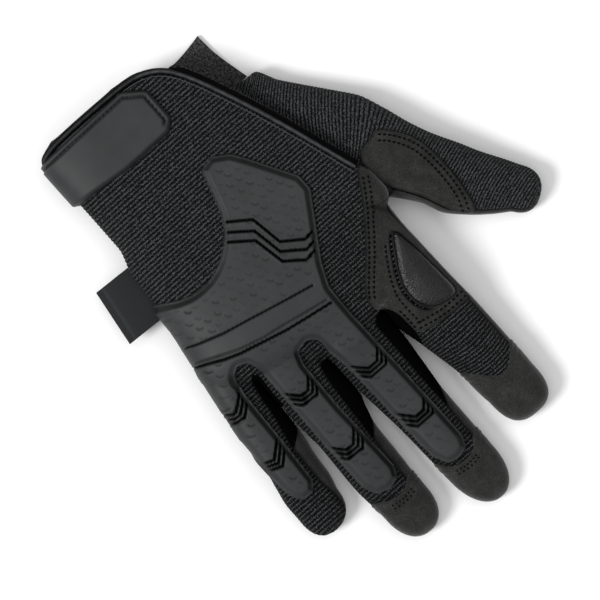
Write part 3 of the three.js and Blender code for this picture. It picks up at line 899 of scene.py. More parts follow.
def linear(code):
    """An sRGB hex colour as linear values."""
    parts = [int(code[i : i + 2], 16) / 255 for i in (1, 3, 5)]
    return [c / 12.92 if c <= 0.04045 else ((c + 0.055) / 1.055) ** 2.4 for c in parts] + [1.0]


def add_node(tree, kind, settings=None, **inputs):
    """Adds a node. An input is a value, a socket, or a node, which stands for its first output. It is
    named as the node names it, with _ for a space, or in0, in1 and so on by its place. The setting
    stops gives a ramp's places and colours, its two ends first."""
    node = tree.nodes.new("ShaderNode" + kind)
    settings = dict(settings or {})
    stops = settings.pop("stops", [])
    for key, value in settings.items():
        setattr(node, key, value)
    for key, value in inputs.items():
        place = int(key[2:]) if key.startswith("in") and key[2:].isdigit() else key.replace("_", " ")
        socket = node.inputs[place]
        if isinstance(value, bpy.types.Node):
            value = value.outputs[0]
        if isinstance(value, bpy.types.NodeSocket):
            tree.links.new(value, socket)
        else:
            socket.default_value = value
    for number, (place, code) in enumerate(stops):
        elements = node.color_ramp.elements
        element = elements[number] if number < 2 else elements.new(place)
        element.position = place
        element.color = linear(code)
    return node


def new_material(name):
    """An empty material and its tree."""
    material = bpy.data.materials.new(name)
    material.use_nodes = True
    material.node_tree.nodes.clear()
    return material, material.node_tree


SCALE = {"operation": "SCALE"}
ADD = {"operation": "ADD"}
SUBTRACT = {"operation": "SUBTRACT"}
MULTIPLY = {"operation": "MULTIPLY"}
MULTIPLY_ADD = {"operation": "MULTIPLY_ADD"}
COSINE = {"operation": "COSINE"}
SMOOTH = {"interpolation_type": "SMOOTHSTEP"}


def rib_knit(name, pitch):
    """Polyester rib knit. Ribs of dull grey stitches alternate with broken near-black dashes where
    the gaps are shut less tightly. Where the mark is 1 the cloth is stretched, and only a net of
    thin threads round black holes is left. The shade is painted shade: it darkens the knit along its
    seams, round the pieces laid on it and in the slits by the caps' hems, where shade falls."""
    material, tree = new_material(name)
    texture = add_node(tree, "TexCoord")
    where = add_node(tree, "VectorMath", SCALE, in0=texture.outputs["Object"], Scale=1 / MM)
    wander = add_node(tree, "TexNoise", Vector=where, Scale=1 / 2.2, Detail=3.0)
    drift = add_node(tree, "Math", MULTIPLY_ADD, in0=wander, in1=0.7, in2=-0.35)
    axes = add_node(tree, "SeparateXYZ", Vector=texture.outputs["UV"])
    along = add_node(tree, "Math", ADD, in0=axes.outputs["Y"], in1=drift)
    across = add_node(tree, "Math", ADD, in0=axes.outputs["X"], in1=drift)
    rib_turn = add_node(tree, "Math", MULTIPLY, in0=along, in1=2 * math.pi / pitch)
    rib = add_node(tree, "Math", COSINE, in0=rib_turn)
    column_turn = add_node(tree, "Math", MULTIPLY, in0=across, in1=2 * math.pi / STITCH_COLUMN)
    column = add_node(tree, "Math", COSINE, in0=column_turn)
    gap = add_node(tree, "MapRange", SMOOTH, Value=rib, From_Min=0.3, From_Max=-0.6)
    wide_gap = add_node(tree, "MapRange", SMOOTH, Value=rib, From_Min=0.85, From_Max=0.05)
    between_columns = add_node(tree, "MapRange", SMOOTH, Value=column, From_Min=0.9, From_Max=0.1, To_Min=0.4)
    stretched_uv = add_node(
        tree, "VectorMath", MULTIPLY, in0=texture.outputs["UV"], in1=(1 / 0.9, 1 / 0.7, 1.0)
    )
    dashes = add_node(tree, "TexNoise", Vector=stretched_uv, Scale=1.0, Detail=2.0, Roughness=0.6)
    dash = add_node(tree, "MapRange", SMOOTH, Value=dashes, From_Min=0.34, From_Max=0.56)
    broken = add_node(tree, "Math", MULTIPLY_ADD, in0=dash, in1=0.75, in2=0.2)
    rib_hole = add_node(tree, "Math", MULTIPLY, in0=gap, in1=broken)
    net_gap = add_node(tree, "Math", MULTIPLY, in0=wide_gap, in1=between_columns)
    uneven = add_node(tree, "Math", MULTIPLY_ADD, in0=dash, in1=0.35, in2=0.7)
    net_hole = add_node(tree, "Math", MULTIPLY, in0=net_gap, in1=uneven)
    net = add_node(tree, "Attribute", {"attribute_name": "mark"})
    hole = add_node(tree, "MixRGB", Fac=net.outputs["Fac"], Color1=rib_hole, Color2=net_hole)
    grain = add_node(tree, "TexNoise", Vector=where, Scale=1 / 0.6, Detail=2.0, Roughness=0.8)
    speckle = add_node(tree, "MapRange", Value=grain, From_Min=0.35, From_Max=0.68, To_Min=-0.35, To_Max=0.85)
    depth = add_node(tree, "Math", ADD, in0=hole, in1=speckle)
    tones = [(0.0, "#4b4d4f"), (1.0, "#010101"), (0.25, "#2e3031"), (0.6, "#0d0e0e")]
    colour = add_node(tree, "ValToRGB", {"stops": tones}, Fac=depth)
    # Painted shade: the shade attribute mixes the colour towards near-black.
    seam = add_node(tree, "Attribute", {"attribute_name": "shade"})
    colour = add_node(tree, "MixRGB", Fac=seam.outputs["Fac"], Color1=colour, Color2=linear("#030303"))
    raised = add_node(tree, "Math", SUBTRACT, in0=1.0, in1=depth)
    relief = add_node(tree, "Bump", Strength=0.9, Distance=0.3 * MM, Height=raised)
    shader = add_node(
        tree,
        "BsdfPrincipled",
        Base_Color=colour,
        Roughness=0.92,
        Specular_IOR_Level=0.15,
        Normal=relief.outputs["Normal"],
    )
    add_node(tree, "OutputMaterial", Surface=shader)
    return material


def synthetic_suede(name):
    """Napped microfibre suede: dull, and mottled where the nap lies different ways. The shade is
    painted shade: it darkens the suede and takes away its sheen and shine along seams, round the
    pad and in a crease by the thumb's crotch."""
    material, tree = new_material(name)
    texture = add_node(tree, "TexCoord")
    where = add_node(tree, "VectorMath", SCALE, in0=texture.outputs["Object"], Scale=1 / MM)
    nap = add_node(tree, "TexNoise", Vector=where, Scale=1 / 0.5, Detail=4.0, Roughness=0.7)
    cloud = add_node(tree, "TexNoise", Vector=where, Scale=1 / 5.0, Detail=3.0, Roughness=0.6)
    patchy = add_node(tree, "Math", MULTIPLY_ADD, in0=cloud, in1=0.4, in2=-0.2)
    mottled = add_node(tree, "Math", ADD, in0=nap, in1=patchy)
    tones = [(0.3, "#151515"), (0.78, "#3e3e3d"), (0.5, "#252524")]
    colour = add_node(tree, "ValToRGB", {"stops": tones}, Fac=mottled)
    # Painted shade: the shade attribute mixes towards near-black and lowers the sheen and shine.
    seam = add_node(tree, "Attribute", {"attribute_name": "shade"})
    colour = add_node(tree, "MixRGB", Fac=seam.outputs["Fac"], Color1=colour, Color2=linear("#030303"))
    sheen = add_node(tree, "Math", MULTIPLY_ADD, in0=seam.outputs["Fac"], in1=-0.25, in2=0.25)
    shine = add_node(tree, "Math", MULTIPLY_ADD, in0=seam.outputs["Fac"], in1=-0.15, in2=0.15)
    relief = add_node(tree, "Bump", Strength=0.8, Distance=0.22 * MM, Height=nap)
    shader = add_node(
        tree,
        "BsdfPrincipled",
        Base_Color=colour,
        Roughness=0.94,
        Sheen_Weight=sheen,
        Sheen_Roughness=0.45,
        Specular_IOR_Level=shine,
        Normal=relief.outputs["Normal"],
    )
    add_node(tree, "OutputMaterial", Surface=shader)
    return material


def moulded_rubber(name):
    """Injection-moulded thermoplastic rubber: charcoal and satin, with a faint flow mottle. The mark is
    painted shade: near-black in the grooves and channels, greyer in the crescent dents, and a darker
    border and edge, most on the guard's sides that face away from the key light."""
    material, tree = new_material(name)
    texture = add_node(tree, "TexCoord")
    where = add_node(tree, "VectorMath", SCALE, in0=texture.outputs["Object"], Scale=1 / MM)
    cloud = add_node(tree, "TexNoise", Vector=where, Scale=1 / 9.0, Detail=3.0, Roughness=0.5)
    fine = add_node(tree, "TexNoise", Vector=where, Scale=1 / 0.35, Detail=2.0, Roughness=0.6)
    flow = add_node(tree, "Math", MULTIPLY_ADD, in0=fine, in1=0.25, in2=-0.125)
    level = add_node(tree, "Math", ADD, in0=flow, in1=cloud)
    tones = [(0.3, "#272829"), (0.8, "#2f3031"), (0.55, "#2b2c2d")]
    colour = add_node(tree, "ValToRGB", {"stops": tones}, Fac=level)
    # Painted shade from the mark: mixed towards near-black, with less shine.
    painted_rubber_shade = add_node(tree, "Attribute", {"attribute_name": "mark"})
    colour = add_node(tree, "MixRGB", Fac=painted_rubber_shade.outputs["Fac"], Color1=colour, Color2=linear("#010101"))
    shine = add_node(tree, "Math", MULTIPLY_ADD, in0=painted_rubber_shade.outputs["Fac"], in1=-0.2, in2=0.24)
    relief = add_node(tree, "Bump", Strength=0.5, Distance=0.05 * MM, Height=fine)
    shader = add_node(
        tree,
        "BsdfPrincipled",
        Base_Color=colour,
        Roughness=0.52,
        Specular_IOR_Level=shine,
        Normal=relief.outputs["Normal"],
    )
    add_node(tree, "OutputMaterial", Surface=shader)
    return material


def stretch_cloth(name):
    """Knitted elastane side cloth: deep black, so only its folds show."""
    material, tree = new_material(name)
    texture = add_node(tree, "TexCoord")
    where = add_node(tree, "VectorMath", SCALE, in0=texture.outputs["Object"], Scale=1 / MM)
    grain = add_node(tree, "TexNoise", Vector=where, Scale=1 / 0.6, Detail=2.0)
    colour = add_node(tree, "ValToRGB", {"stops": [(0.3, "#010101"), (0.7, "#040404")]}, Fac=grain)
    relief = add_node(tree, "Bump", Strength=0.7, Distance=0.15 * MM, Height=grain)
    shader = add_node(
        tree,
        "BsdfPrincipled",
        Base_Color=colour,
        Roughness=0.95,
        Specular_IOR_Level=0.03,
        Normal=relief.outputs["Normal"],
    )
    add_node(tree, "OutputMaterial", Surface=shader)
    return material


def grained_leather(name):
    """Embossed synthetic leather over foam: a small pebble grain whose satin tops catch the light."""
    material, tree = new_material(name)
    texture = add_node(tree, "TexCoord")
    where = add_node(tree, "VectorMath", SCALE, in0=texture.outputs["Object"], Scale=1 / MM)
    cells = add_node(tree, "TexVoronoi", Vector=where, Scale=1 / 0.6)
    pebble = add_node(tree, "Math", SUBTRACT, in0=1.0, in1=cells)
    tint = add_node(tree, "TexNoise", Vector=where, Scale=1 / 0.8, Detail=3.0, Roughness=0.7)
    level = add_node(tree, "Math", MULTIPLY, in0=pebble, in1=tint)
    tones = [(0.1, "#020202"), (0.65, "#27292b"), (0.35, "#0f1011")]
    colour = add_node(tree, "ValToRGB", {"stops": tones}, Fac=level)
    relief = add_node(tree, "Bump", Strength=0.9, Distance=0.2 * MM, Height=pebble)
    shader = add_node(
        tree,
        "BsdfPrincipled",
        Base_Color=colour,
        Roughness=0.33,
        Specular_IOR_Level=0.38,
        Normal=relief.outputs["Normal"],
    )
    add_node(tree, "OutputMaterial", Surface=shader)
    return material


def satin_tape(name):
    """Folded satin binding tape: black filament yarn across fine crossways ribs. Its mark lightens
    it: over the ridge of the fold this is a painted highlight, and the piping gets the same pale grey."""
    material, tree = new_material(name)
    texture = add_node(tree, "TexCoord")
    axes = add_node(tree, "SeparateXYZ", Vector=texture.outputs["UV"])
    turn = add_node(tree, "Math", MULTIPLY, in0=axes.outputs["Y"], in1=2 * math.pi / 0.8)
    thread = add_node(tree, "Math", COSINE, in0=turn)
    weave = add_node(tree, "Math", MULTIPLY_ADD, in0=thread, in1=0.5, in2=0.5)
    where = add_node(tree, "VectorMath", SCALE, in0=texture.outputs["Object"], Scale=1 / MM)
    cloud = add_node(tree, "TexNoise", Vector=where, Scale=1 / 2.5, Detail=3.0)
    level = add_node(tree, "Math", MULTIPLY, in0=weave, in1=cloud)
    tones = [(0.1, "#020202"), (0.5, "#070708")]
    colour = add_node(tree, "ValToRGB", {"stops": tones}, Fac=level)
    fold = add_node(tree, "Attribute", {"attribute_name": "mark"})
    # Painted highlight: the mark mixes in a pale grey, patchy by the cloud, and raises the shine.
    sheen = add_node(tree, "Math", MULTIPLY, in0=fold.outputs["Fac"], in1=cloud)
    colour = add_node(tree, "MixRGB", Fac=sheen, Color1=colour, Color2=linear("#5a5c5f"))
    shine = add_node(tree, "Math", MULTIPLY_ADD, in0=fold.outputs["Fac"], in1=0.3, in2=0.03)
    relief = add_node(tree, "Bump", Strength=0.7, Distance=0.12 * MM, Height=weave)
    shader = add_node(
        tree,
        "BsdfPrincipled",
        Base_Color=colour,
        Roughness=0.45,
        Specular_IOR_Level=shine,
        Normal=relief.outputs["Normal"],
    )
    add_node(tree, "OutputMaterial", Surface=shader)
    return material


def loop_tape(name):
    """Brushed nylon loop tape: dark grey, with a short dull pile that shows black between its tufts."""
    material, tree = new_material(name)
    texture = add_node(tree, "TexCoord")
    where = add_node(tree, "VectorMath", SCALE, in0=texture.outputs["Object"], Scale=1 / MM)
    pile = add_node(tree, "TexNoise", Vector=where, Scale=1 / 0.9, Detail=4.0, Roughness=0.85)
    tones = [(0.34, "#050505"), (0.68, "#676766"), (0.5, "#2b2b2b")]
    colour = add_node(tree, "ValToRGB", {"stops": tones}, Fac=pile)
    relief = add_node(tree, "Bump", Strength=1.0, Distance=0.5 * MM, Height=pile)
    shader = add_node(
        tree,
        "BsdfPrincipled",
        Base_Color=colour,
        Roughness=0.97,
        Sheen_Weight=0.25,
        Specular_IOR_Level=0.1,
        Normal=relief.outputs["Normal"],
    )
    add_node(tree, "OutputMaterial", Surface=shader)
    return material


def woven_tape(name):
    """Woven polyester label tape: a tight flat weave, near black. Its threads are drawn at twice
    their real pitch of 0.35 mm, because finer ones would not show. The mark is a paler woven line."""
    material, tree = new_material(name)
    texture = add_node(tree, "TexCoord")
    axes = add_node(tree, "SeparateXYZ", Vector=texture.outputs["UV"])
    warp_turn = add_node(tree, "Math", MULTIPLY, in0=axes.outputs["X"], in1=2 * math.pi / 0.7)
    weft_turn = add_node(tree, "Math", MULTIPLY, in0=axes.outputs["Y"], in1=2 * math.pi / 0.7)
    warp = add_node(tree, "Math", COSINE, in0=warp_turn)
    weft = add_node(tree, "Math", COSINE, in0=weft_turn)
    crossing = add_node(tree, "Math", MULTIPLY, in0=warp, in1=weft)
    over = add_node(tree, "Math", MULTIPLY_ADD, in0=crossing, in1=0.5, in2=0.5)
    colour = add_node(tree, "ValToRGB", {"stops": [(0.0, "#101111"), (1.0, "#2b2c2e")]}, Fac=over)
    line = add_node(tree, "Attribute", {"attribute_name": "mark"})
    colour = add_node(tree, "MixRGB", Fac=line.outputs["Fac"], Color1=colour, Color2=linear("#6f747b"))
    relief = add_node(tree, "Bump", Strength=0.8, Distance=0.1 * MM, Height=over)
    shader = add_node(
        tree,
        "BsdfPrincipled",
        Base_Color=colour,
        Roughness=0.8,
        Specular_IOR_Level=0.2,
        Normal=relief.outputs["Normal"],
    )
    add_node(tree, "OutputMaterial", Surface=shader)
    return material


def sewing_thread(name):
    """Bonded polyester thread: black, round and faintly shiny."""
    material, tree = new_material(name)
    texture = add_node(tree, "TexCoord")
    where = add_node(tree, "VectorMath", SCALE, in0=texture.outputs["Object"], Scale=1 / MM)
    grain = add_node(tree, "TexNoise", Vector=where, Scale=1 / 0.4, Detail=1.0)
    colour = add_node(tree, "ValToRGB", {"stops": [(0.3, "#010101"), (0.7, "#040404")]}, Fac=grain)
    shader = add_node(
        tree, "BsdfPrincipled", Base_Color=colour, Roughness=0.6, Specular_IOR_Level=0.06
    )
    add_node(tree, "OutputMaterial", Surface=shader)
    return material


def pale_board(name):
    """Matt white board under the glove."""
    material, tree = new_material(name)
    shader = add_node(
        tree, "BsdfPrincipled", Base_Color=linear("#f9f9f9"), Roughness=0.9, Specular_IOR_Level=0.1
    )
    add_node(tree, "OutputMaterial", Surface=shader)
    return material


KNIT = rib_knit("polyester_rib_knit", RIB_PITCH)
KNIT_THUMB = rib_knit("polyester_rib_knit_thumb", THUMB_PITCH)
KNIT_INDEX = rib_knit("polyester_rib_knit_index", INDEX_PITCH)
SUEDE = synthetic_suede("napped_synthetic_suede")
RUBBER = moulded_rubber("moulded_thermoplastic_rubber")
STRETCH = stretch_cloth("black_stretch_cloth")
GRAINED = grained_leather("grained_synthetic_leather")
SATIN = satin_tape("satin_binding_tape")
LOOP = loop_tape("brushed_loop_tape")
WOVEN = woven_tape("woven_label_tape")
THREAD = sewing_thread("polyester_thread")
BOARD = pale_board("matt_white_board")


# Cloth panels


def rib_relief(v, pitch, depth=RIB_DEPTH):
    """Rounded ribs with narrow gaps: 1 - 2 (0.5 - 0.5 cos)^1.7."""
    wave = 0.5 - 0.5 * np.cos(2 * math.pi * v / pitch)
    return depth * (1 - 2 * wave**1.7)


def seam_dip(distance, depth=0.7, width=1.1):
    """Cloth drawn down towards a seam, as a bell curve of the distance."""
    return -depth * np.exp(-((distance / width) ** 2))


def seam_shade(distance, amount=0.8, width=0.8):
    """The same bell curve as an amount: painted shade by a seam, or the label's pale line."""
    return -seam_dip(distance, amount, width)


def past_pole(grid):
    """1 along a tube, falling to 0 at its tip, where the sections are only a few millimetres round."""
    return ease((grid.from_start + grid.from_end - 1) / 9)


def mix(first, second, y, start, end):
    """One place on the sections, then another, changing softly between two rows."""
    share = ease((y - start) / (end - start))
    return first * (1 - share) + second * share


def hand_left(y):
    """The thumb-side outline of the hand, and of the index finger from its root up."""
    return np.where(y < INDEX.first, HAND.left(y), np.minimum(HAND.left(y), INDEX.left(y)))


def hand_right(y):
    """The far outline of the hand, and of the little finger from its root up."""
    return np.where(y < LITTLE.first, HAND.right(y), np.maximum(HAND.right(y), LITTLE.right(y)))


def hand_rings(y, over):
    """Sections of the hand with the roots of the fingers."""
    edges = [INDEX.right(y), MIDDLE.left(y), MIDDLE.right(y), RING.right(y), LITTLE.left(y)]
    return Rings(y, hand_left(y), hand_right(y), over, edges=edges, count=120)


FINGERS = (INDEX, MIDDLE, RING, LITTLE)
HAND_MIDDLE = 20.0  # the line in x from which the pattern's lengths round the hand are measured


def finger_rings(finger, y, over):
    """Sections of one finger, cut where it meets its neighbours, and widened by the web at its root."""
    tube = FINGERS[finger]
    left, right, _, _ = tube.sizes(y)
    if finger > 0:
        left = np.maximum(left, np.minimum(FINGER_LIMITS[finger - 1], right))
    if finger < 3:
        right = np.minimum(right, np.maximum(FINGER_LIMITS[finger], left))
        lip = between(LIPS_LEFT[finger], y)
        right = np.where((y < 31) & (lip > right), lip, right)
    return Rings(y, left, right, over, count=60)


def rows_between(first, last, pitch):
    """Rows a quarter of a rib apart, so that each rib has the same four."""
    step = pitch / 4
    return np.arange(math.ceil(first / step), math.floor(last / step) + 1) * step


def index_seam_place(rings):
    """Where palm and back meet on the index finger's thumb side: just inside the silhouette."""
    return rings.over(rings.side.min(axis=1) + INDEX_SEAM_INSET)


def thumb_side_place(rings, y, on_side, under_binding):
    """Where the hand's cloth ends on the thumb side: at the mouth, the flank's seam, the binding, the
    thumb's crotch, and the index finger's flank seam, from the wrist up. on_side is rings.over for
    the back and rings.under for the palm."""
    flank = rings.find("lower_left", "z", SEAM_HEIGHT)
    place = mix(on_side(between(MOUTH_LEFT, y)), flank, y, *MOUTH_TO_FLANK)
    place = mix(place, on_side(between(BINDING_SIDE, y) - under_binding), y, *FLANK_TO_BINDING)
    place = mix(place, on_side(CROTCH_SIDE + 0 * y), y, *BINDING_TO_CROTCH)
    return mix(place, index_seam_place(rings), y, *CROTCH_TO_INDEX)


def far_side_place(rings, y, on_side):
    """Where the hand's cloth ends on the little finger's side: at the mouth, then the flank's seam."""
    flank = rings.find("lower_right", "z", SEAM_HEIGHT)
    return mix(on_side(between(MOUTH_RIGHT, y)), flank, y, *RIGHT_MOUTH_TO_FLANK)


def left_seam_place(rings, finger, y):
    """Where the palm's suede ends on a finger's thumb-side flank: at the low seam, then climbing over
    the widest line to the knit's seam."""
    low = rings.find("lower_left", "z", SEAM_HEIGHT)
    if finger == 0:
        return index_seam_place(rings)
    start, widest, seam = CLIMBS[finger - 1]
    knit = rings.find("upper_left", "side", between(LIPS_RIGHT[finger - 1], y))
    place = mix(low, rings.left_edge(), y, start, widest)
    return np.where(y > widest, mix(rings.left_edge(), knit, y, widest, seam), place)


def knit_end_place(rings, finger, y):
    """Where a finger's knit ends on its far flank: at the slit's lip, then over the widest line at
    the low seam."""
    low = rings.find("lower_right", "z", SEAM_HEIGHT)
    lip = rings.over(np.minimum(between(LIPS_LEFT[finger], y), rings.side.max(axis=1)))
    return mix(lip, low, y, *(INDEX_LIP_TO_FLANK if finger == 0 else LIP_TO_FLANK))


def back_grids():
    """The back's knit in four groups of columns that part at the slits between the fingers."""
    grids = []
    for group, (top, columns) in enumerate(zip(KNIT_TOPS, KNIT_COLUMNS)):
        y = rows_between(MOUTH_ROW, min(SPLIT, top), RIB_PITCH)
        rings = hand_rings(y, True)
        if group == 0:
            start = thumb_side_place(rings, y, rings.over, BACK_UNDER_BINDING)
        else:
            start = rings.over(between(GROUP_LINES[group - 1], y))
        if group == 3:
            start = np.where(y > SPLIT_LITTLE, rings.over(between(LIPS_RIGHT[2], y)), start)
            end = far_side_place(rings, y, rings.over)
        else:
            end = rings.over(between(GROUP_LINES[group], y))
        if group == 2:
            end = np.where(y > SPLIT_LITTLE, rings.over(between(LIPS_LEFT[2], y)), end)
        grid = rings.strip(start, end, columns, HAND_MIDDLE + 0 * y)
        y = rows_between(SPLIT + 0.1, top - 0.25, RIB_PITCH)
        if group == 3:
            y = np.concatenate([y, [top - 0.12, top]])
        rings = finger_rings(group, y, True)
        tube = FINGERS[group]
        if group == 0:
            start = index_seam_place(rings)
        else:
            start = rings.find("upper_left", "side", between(LIPS_RIGHT[group - 1], y))
        end = rings.find("lower_right", "z", SEAM_HEIGHT) if group == 3 else knit_end_place(rings, group, y)
        left, right, _, _ = tube.sizes(y)
        upper = rings.strip(start, end, columns, left + tube.crest * (right - left))
        grids.append(grid.stacked(upper, 0))
    return grids


def knit_relief(grid, pitch, depth=RIB_DEPTH):
    """Ribs and the dips along the seams, with painted shade along them."""
    dips = seam_dip(grid.from_start) + seam_dip(grid.from_end)
    grid.shade = seam_shade(grid.from_start) + seam_shade(grid.from_end)
    return (rib_relief(grid.v, pitch, depth) + dips) * past_pole(grid)


def hem_slit_shade(grid, name):
    """Two lines of painted shade where a cap's hem and the knit are tucked under the guard's end."""
    outline = rounded(TIP_OUTLINES[name])
    distance = -inside_distance(grid.x, grid.y, outline)
    near_middle = ease((grid.from_start - 6) / 3) * ease((grid.from_end - 8) / 3)
    lines = seam_shade(distance - 0.5, 0.9, 0.4) + seam_shade(distance - 2.0, 0.8, 0.4)
    return lines * near_middle


# The mark on the back: how open the knit is by the wrist, and the stretch in y over which it opens
WRIST_NET = 0.25
NET_ROWS = (-25, 0)


def build_back():
    """The hand's and three fingers' knit. The seams dip only where a slit or a flank has one, and on
    the fingers the cloth is stretched, so its ribs are lower and its net shows."""
    grids = back_grids()
    reliefs = []
    for number, grid in enumerate(grids):
        split = SPLIT_LITTLE if number > 1 else SPLIT
        fingers = ease((grid.v - split) / 3)
        whole = np.ones_like(fingers)
        start = [whole, fingers, fingers, ease((grid.v - SPLIT_LITTLE) / 3)][number]
        end = whole if number == 3 else fingers
        dips = seam_dip(grid.from_start) * start + seam_dip(grid.from_end) * end
        depth = RIB_DEPTH * (1 - 0.6 * fingers)
        reliefs.append((rib_relief(grid.v, RIB_PITCH, depth) + dips) * past_pole(grid))
        grid.mark = mix(WRIST_NET, 1.0, grid.y, *NET_ROWS)
        # Painted shade along the seams that dip, and in the slits by the caps' hems.
        grid.shade = seam_shade(grid.from_start) * start + seam_shade(grid.from_end) * end
        if number in (1, 2):
            grid.shade = grid.shade + hem_slit_shade(grid, TIP_NAMES[number])
    surface = closed_sheet(grids, reliefs, CLOTH)
    return add_piece("back_knit", [surface], KNIT, ["back_panel"])


def build_index_back():
    """The index finger's knit. Its ribs bend towards the fingertip, as its cap's hem does, so its rows
    are closer than the back's."""
    y = rows_between(33.6, 84, INDEX_PITCH * 0.7)
    rings = finger_rings(0, y, True)
    start = index_seam_place(rings)
    left, right, _, _ = INDEX.sizes(y)
    grid = rings.strip(start, knit_end_place(rings, 0, y), INDEX_COLUMNS, (left + right) / 2)
    grid.mark = 1.0
    aside = (grid.x - ((left + right) / 2)[:, None]) / ((right - left) / 2)[:, None]
    grid.v = grid.v - INDEX_BEND * ease((grid.y - 46) / 22) * (1 - aside**2)
    surface = closed_sheet([grid], [knit_relief(grid, INDEX_PITCH, 0.09)], CLOTH)
    return add_piece("index_knit", [surface], KNIT_INDEX, ["index_back"])


def thumb_rings(along, over):
    """Sections of the thumb in its own frame."""
    left, right, _, _ = THUMB.sizes(along)
    return Rings(along, left, right, over, tube=THUMB, count=80)


def thumb_seam_place(rings, along, on_side, first, last):
    """Where the thumb's cloth ends: at the hand's seam, then a little inside the thumb's inner edge,
    where the suede of the palm side folds over, changing from the first place to the last."""
    hand = on_side(np.minimum(between(THUMB_SEAM, along), THUMB.right(along)))
    wrap = rings.over(THUMB.right(along) - between(THUMB_WRAP, along) * THUMB.taper(along)[1])
    return mix(hand, wrap, along, first, last)


HEEL_EDGE = -85.0  # where the thumb's heel ends, in y
THUMB_MIDDLE = 4.0
SLANT_REACH = 16
# How far the thumb's ribs lean from straight across it, as a slope at places along it
THUMB_SLANT = [
    (-60, -0.1), (-44, -0.07), (-40, 0.14), (-23, 0.32), (-9, 0.32), (2, 0.18), (10, -0.03),
    (21, -0.25), (54, -0.36), (72, -0.44), (86, -0.44),
]


def build_thumb():
    """The thumb's knit. Its ribs lean from straight across it by slope times w tanh(u / w), where w is
    the lean's reach, so that they level off on the flanks."""
    along = np.concatenate([np.arange(-58, THUMB.end - 0.3, THUMB_STEP), [THUMB.end - 0.1, THUMB.end]])
    rings = thumb_rings(along, True)
    start = rings.find("lower_left", "z", SEAM_HEIGHT)
    end = thumb_seam_place(rings, along, rings.over, 21, 27)
    grid = rings.strip(start, end, THUMB_COLUMNS, THUMB_MIDDLE + 0 * along)
    grid.trimmed(lambda p: p[..., 1] - HEEL_EDGE)
    aside = SLANT_REACH * np.tanh((grid.u - THUMB_MIDDLE) / SLANT_REACH)
    grid.v = grid.v - between(THUMB_SLANT, grid.v) * aside
    relief = knit_relief(grid, THUMB_PITCH, 0.1)
    patch = inside_distance(grid.x, grid.y, rounded(THUMB_PATCH))
    # Painted shadow on the knit all round the crescent patch laid on it.
    grid.shade = grid.shade + seam_shade(np.minimum(patch, 0), 0.8, 0.9)
    surface = closed_sheet([grid], [relief], CLOTH)
    return add_piece("thumb_knit", [surface], KNIT_THUMB, ["thumb_panel"])


def suede_relief(grid):
    """The dips along the seams of a suede panel, with painted shade along them."""
    grid.shade = seam_shade(grid.from_start, 0.6) + seam_shade(grid.from_end, 0.6)
    dips = seam_dip(grid.from_start, 0.5) + seam_dip(grid.from_end, 0.5)
    return dips * past_pole(grid)


def build_palm():
    """The palm side: the hand from the mouth up, then one strip under each finger, which dips under
    its cap."""
    y = np.arange(MOUTH_ROW, SPLIT + 0.35, SUEDE_STEP)
    rings = hand_rings(y, False)
    start = far_side_place(rings, y, rings.under)
    end = thumb_side_place(rings, y, rings.under, PALM_UNDER_BINDING)
    grid = rings.strip(start, end, PALM_COLUMNS, HAND_MIDDLE + 0 * y)
    surfaces = [closed_sheet([grid], [suede_relief(grid)], CLOTH)]
    for finger, tube in enumerate(FINGERS):
        y = np.arange(23.2, SUEDE_TOPS[finger], SUEDE_STEP)
        if finger == 3:
            y = np.concatenate([y[y < LITTLE.end - 1], LITTLE.end - TIP_ROWS])
        rings = finger_rings(finger, y, False)
        start = rings.find("lower_right", "z", SEAM_HEIGHT)
        end = left_seam_place(rings, finger, y)
        grid = rings.strip(start, end, FINGER_PALM_COLUMNS, (tube.left(y) + tube.right(y)) / 2)
        relief = suede_relief(grid)
        if finger < 3:
            hem = rounded(TIP_OUTLINES[TIP_NAMES[finger]])
            relief = relief - 0.7 * ease((inside_distance(grid.x, grid.y, hem) + 0.2) / 1.2)
        surfaces.append(closed_sheet([grid], [relief], CLOTH))
    return add_piece("palm_suede", surfaces, SUEDE, ["palm_panel"])


def build_thumb_palm():
    """The thumb's palm side, from the hand's seam or the fold over its inner edge round to its outer
    flank."""
    along = np.arange(-46.5, THUMB.end - 1, SUEDE_STEP)
    along = np.concatenate([along, THUMB.end - TIP_ROWS])
    rings = thumb_rings(along, False)
    start = thumb_seam_place(rings, along, rings.under, 21.5, 25)
    end = rings.find("lower_left", "z", SEAM_HEIGHT)
    grid = rings.strip(start, end, THUMB_PALM_COLUMNS, THUMB_MIDDLE + 0 * along)
    grid.trimmed(lambda p: p[..., 1] - HEEL_EDGE)
    surface = closed_sheet([grid], [suede_relief(grid)], CLOTH)
    return add_piece("thumb_suede", [surface], SUEDE, ["thumb_palm"])


def hem_relief(distance):
    """A folded hem: a rounded edge, and two shallow furrows where the stitches pull."""
    edge = -0.5 * (1 - np.sqrt(np.clip(distance / 0.8, 0, 1)))
    first = -0.3 * np.exp(-(((distance - 1.6) / 0.5) ** 2))
    second = -0.25 * np.exp(-(((distance - 3.4) / 0.5) ** 2))
    return edge + first + second


def build_tip(finger, name):
    """A suede fingertip cap: closed sections from its hem to the tip, trimmed to the hem's arc."""
    tube = FINGERS[finger]
    outline = rounded(TIP_OUTLINES[name])
    first = outline[:, 1].min() - 1
    pole = tube.end - np.array([1, 0.6, 0.3, 0.1, 0.0])
    y = np.concatenate([np.arange(first, tube.end - 1.4, CAP_STEP), pole])
    rings = finger_rings(finger, y, True)
    middle = (tube.left(y) + tube.right(y)) / 2
    grid = rings.strip(0 * y, rings.s[:, -1], CAP_COLUMNS, middle)
    grid.points[:, -1] = grid.points[:, 0]
    distance = grid.cut_to(outline)
    surface = closed_sheet([grid], [hem_relief(distance)], CAP_LIFT * 1.5, CAP_LIFT)
    return add_piece(name + "_cap", [surface], SUEDE, [name])


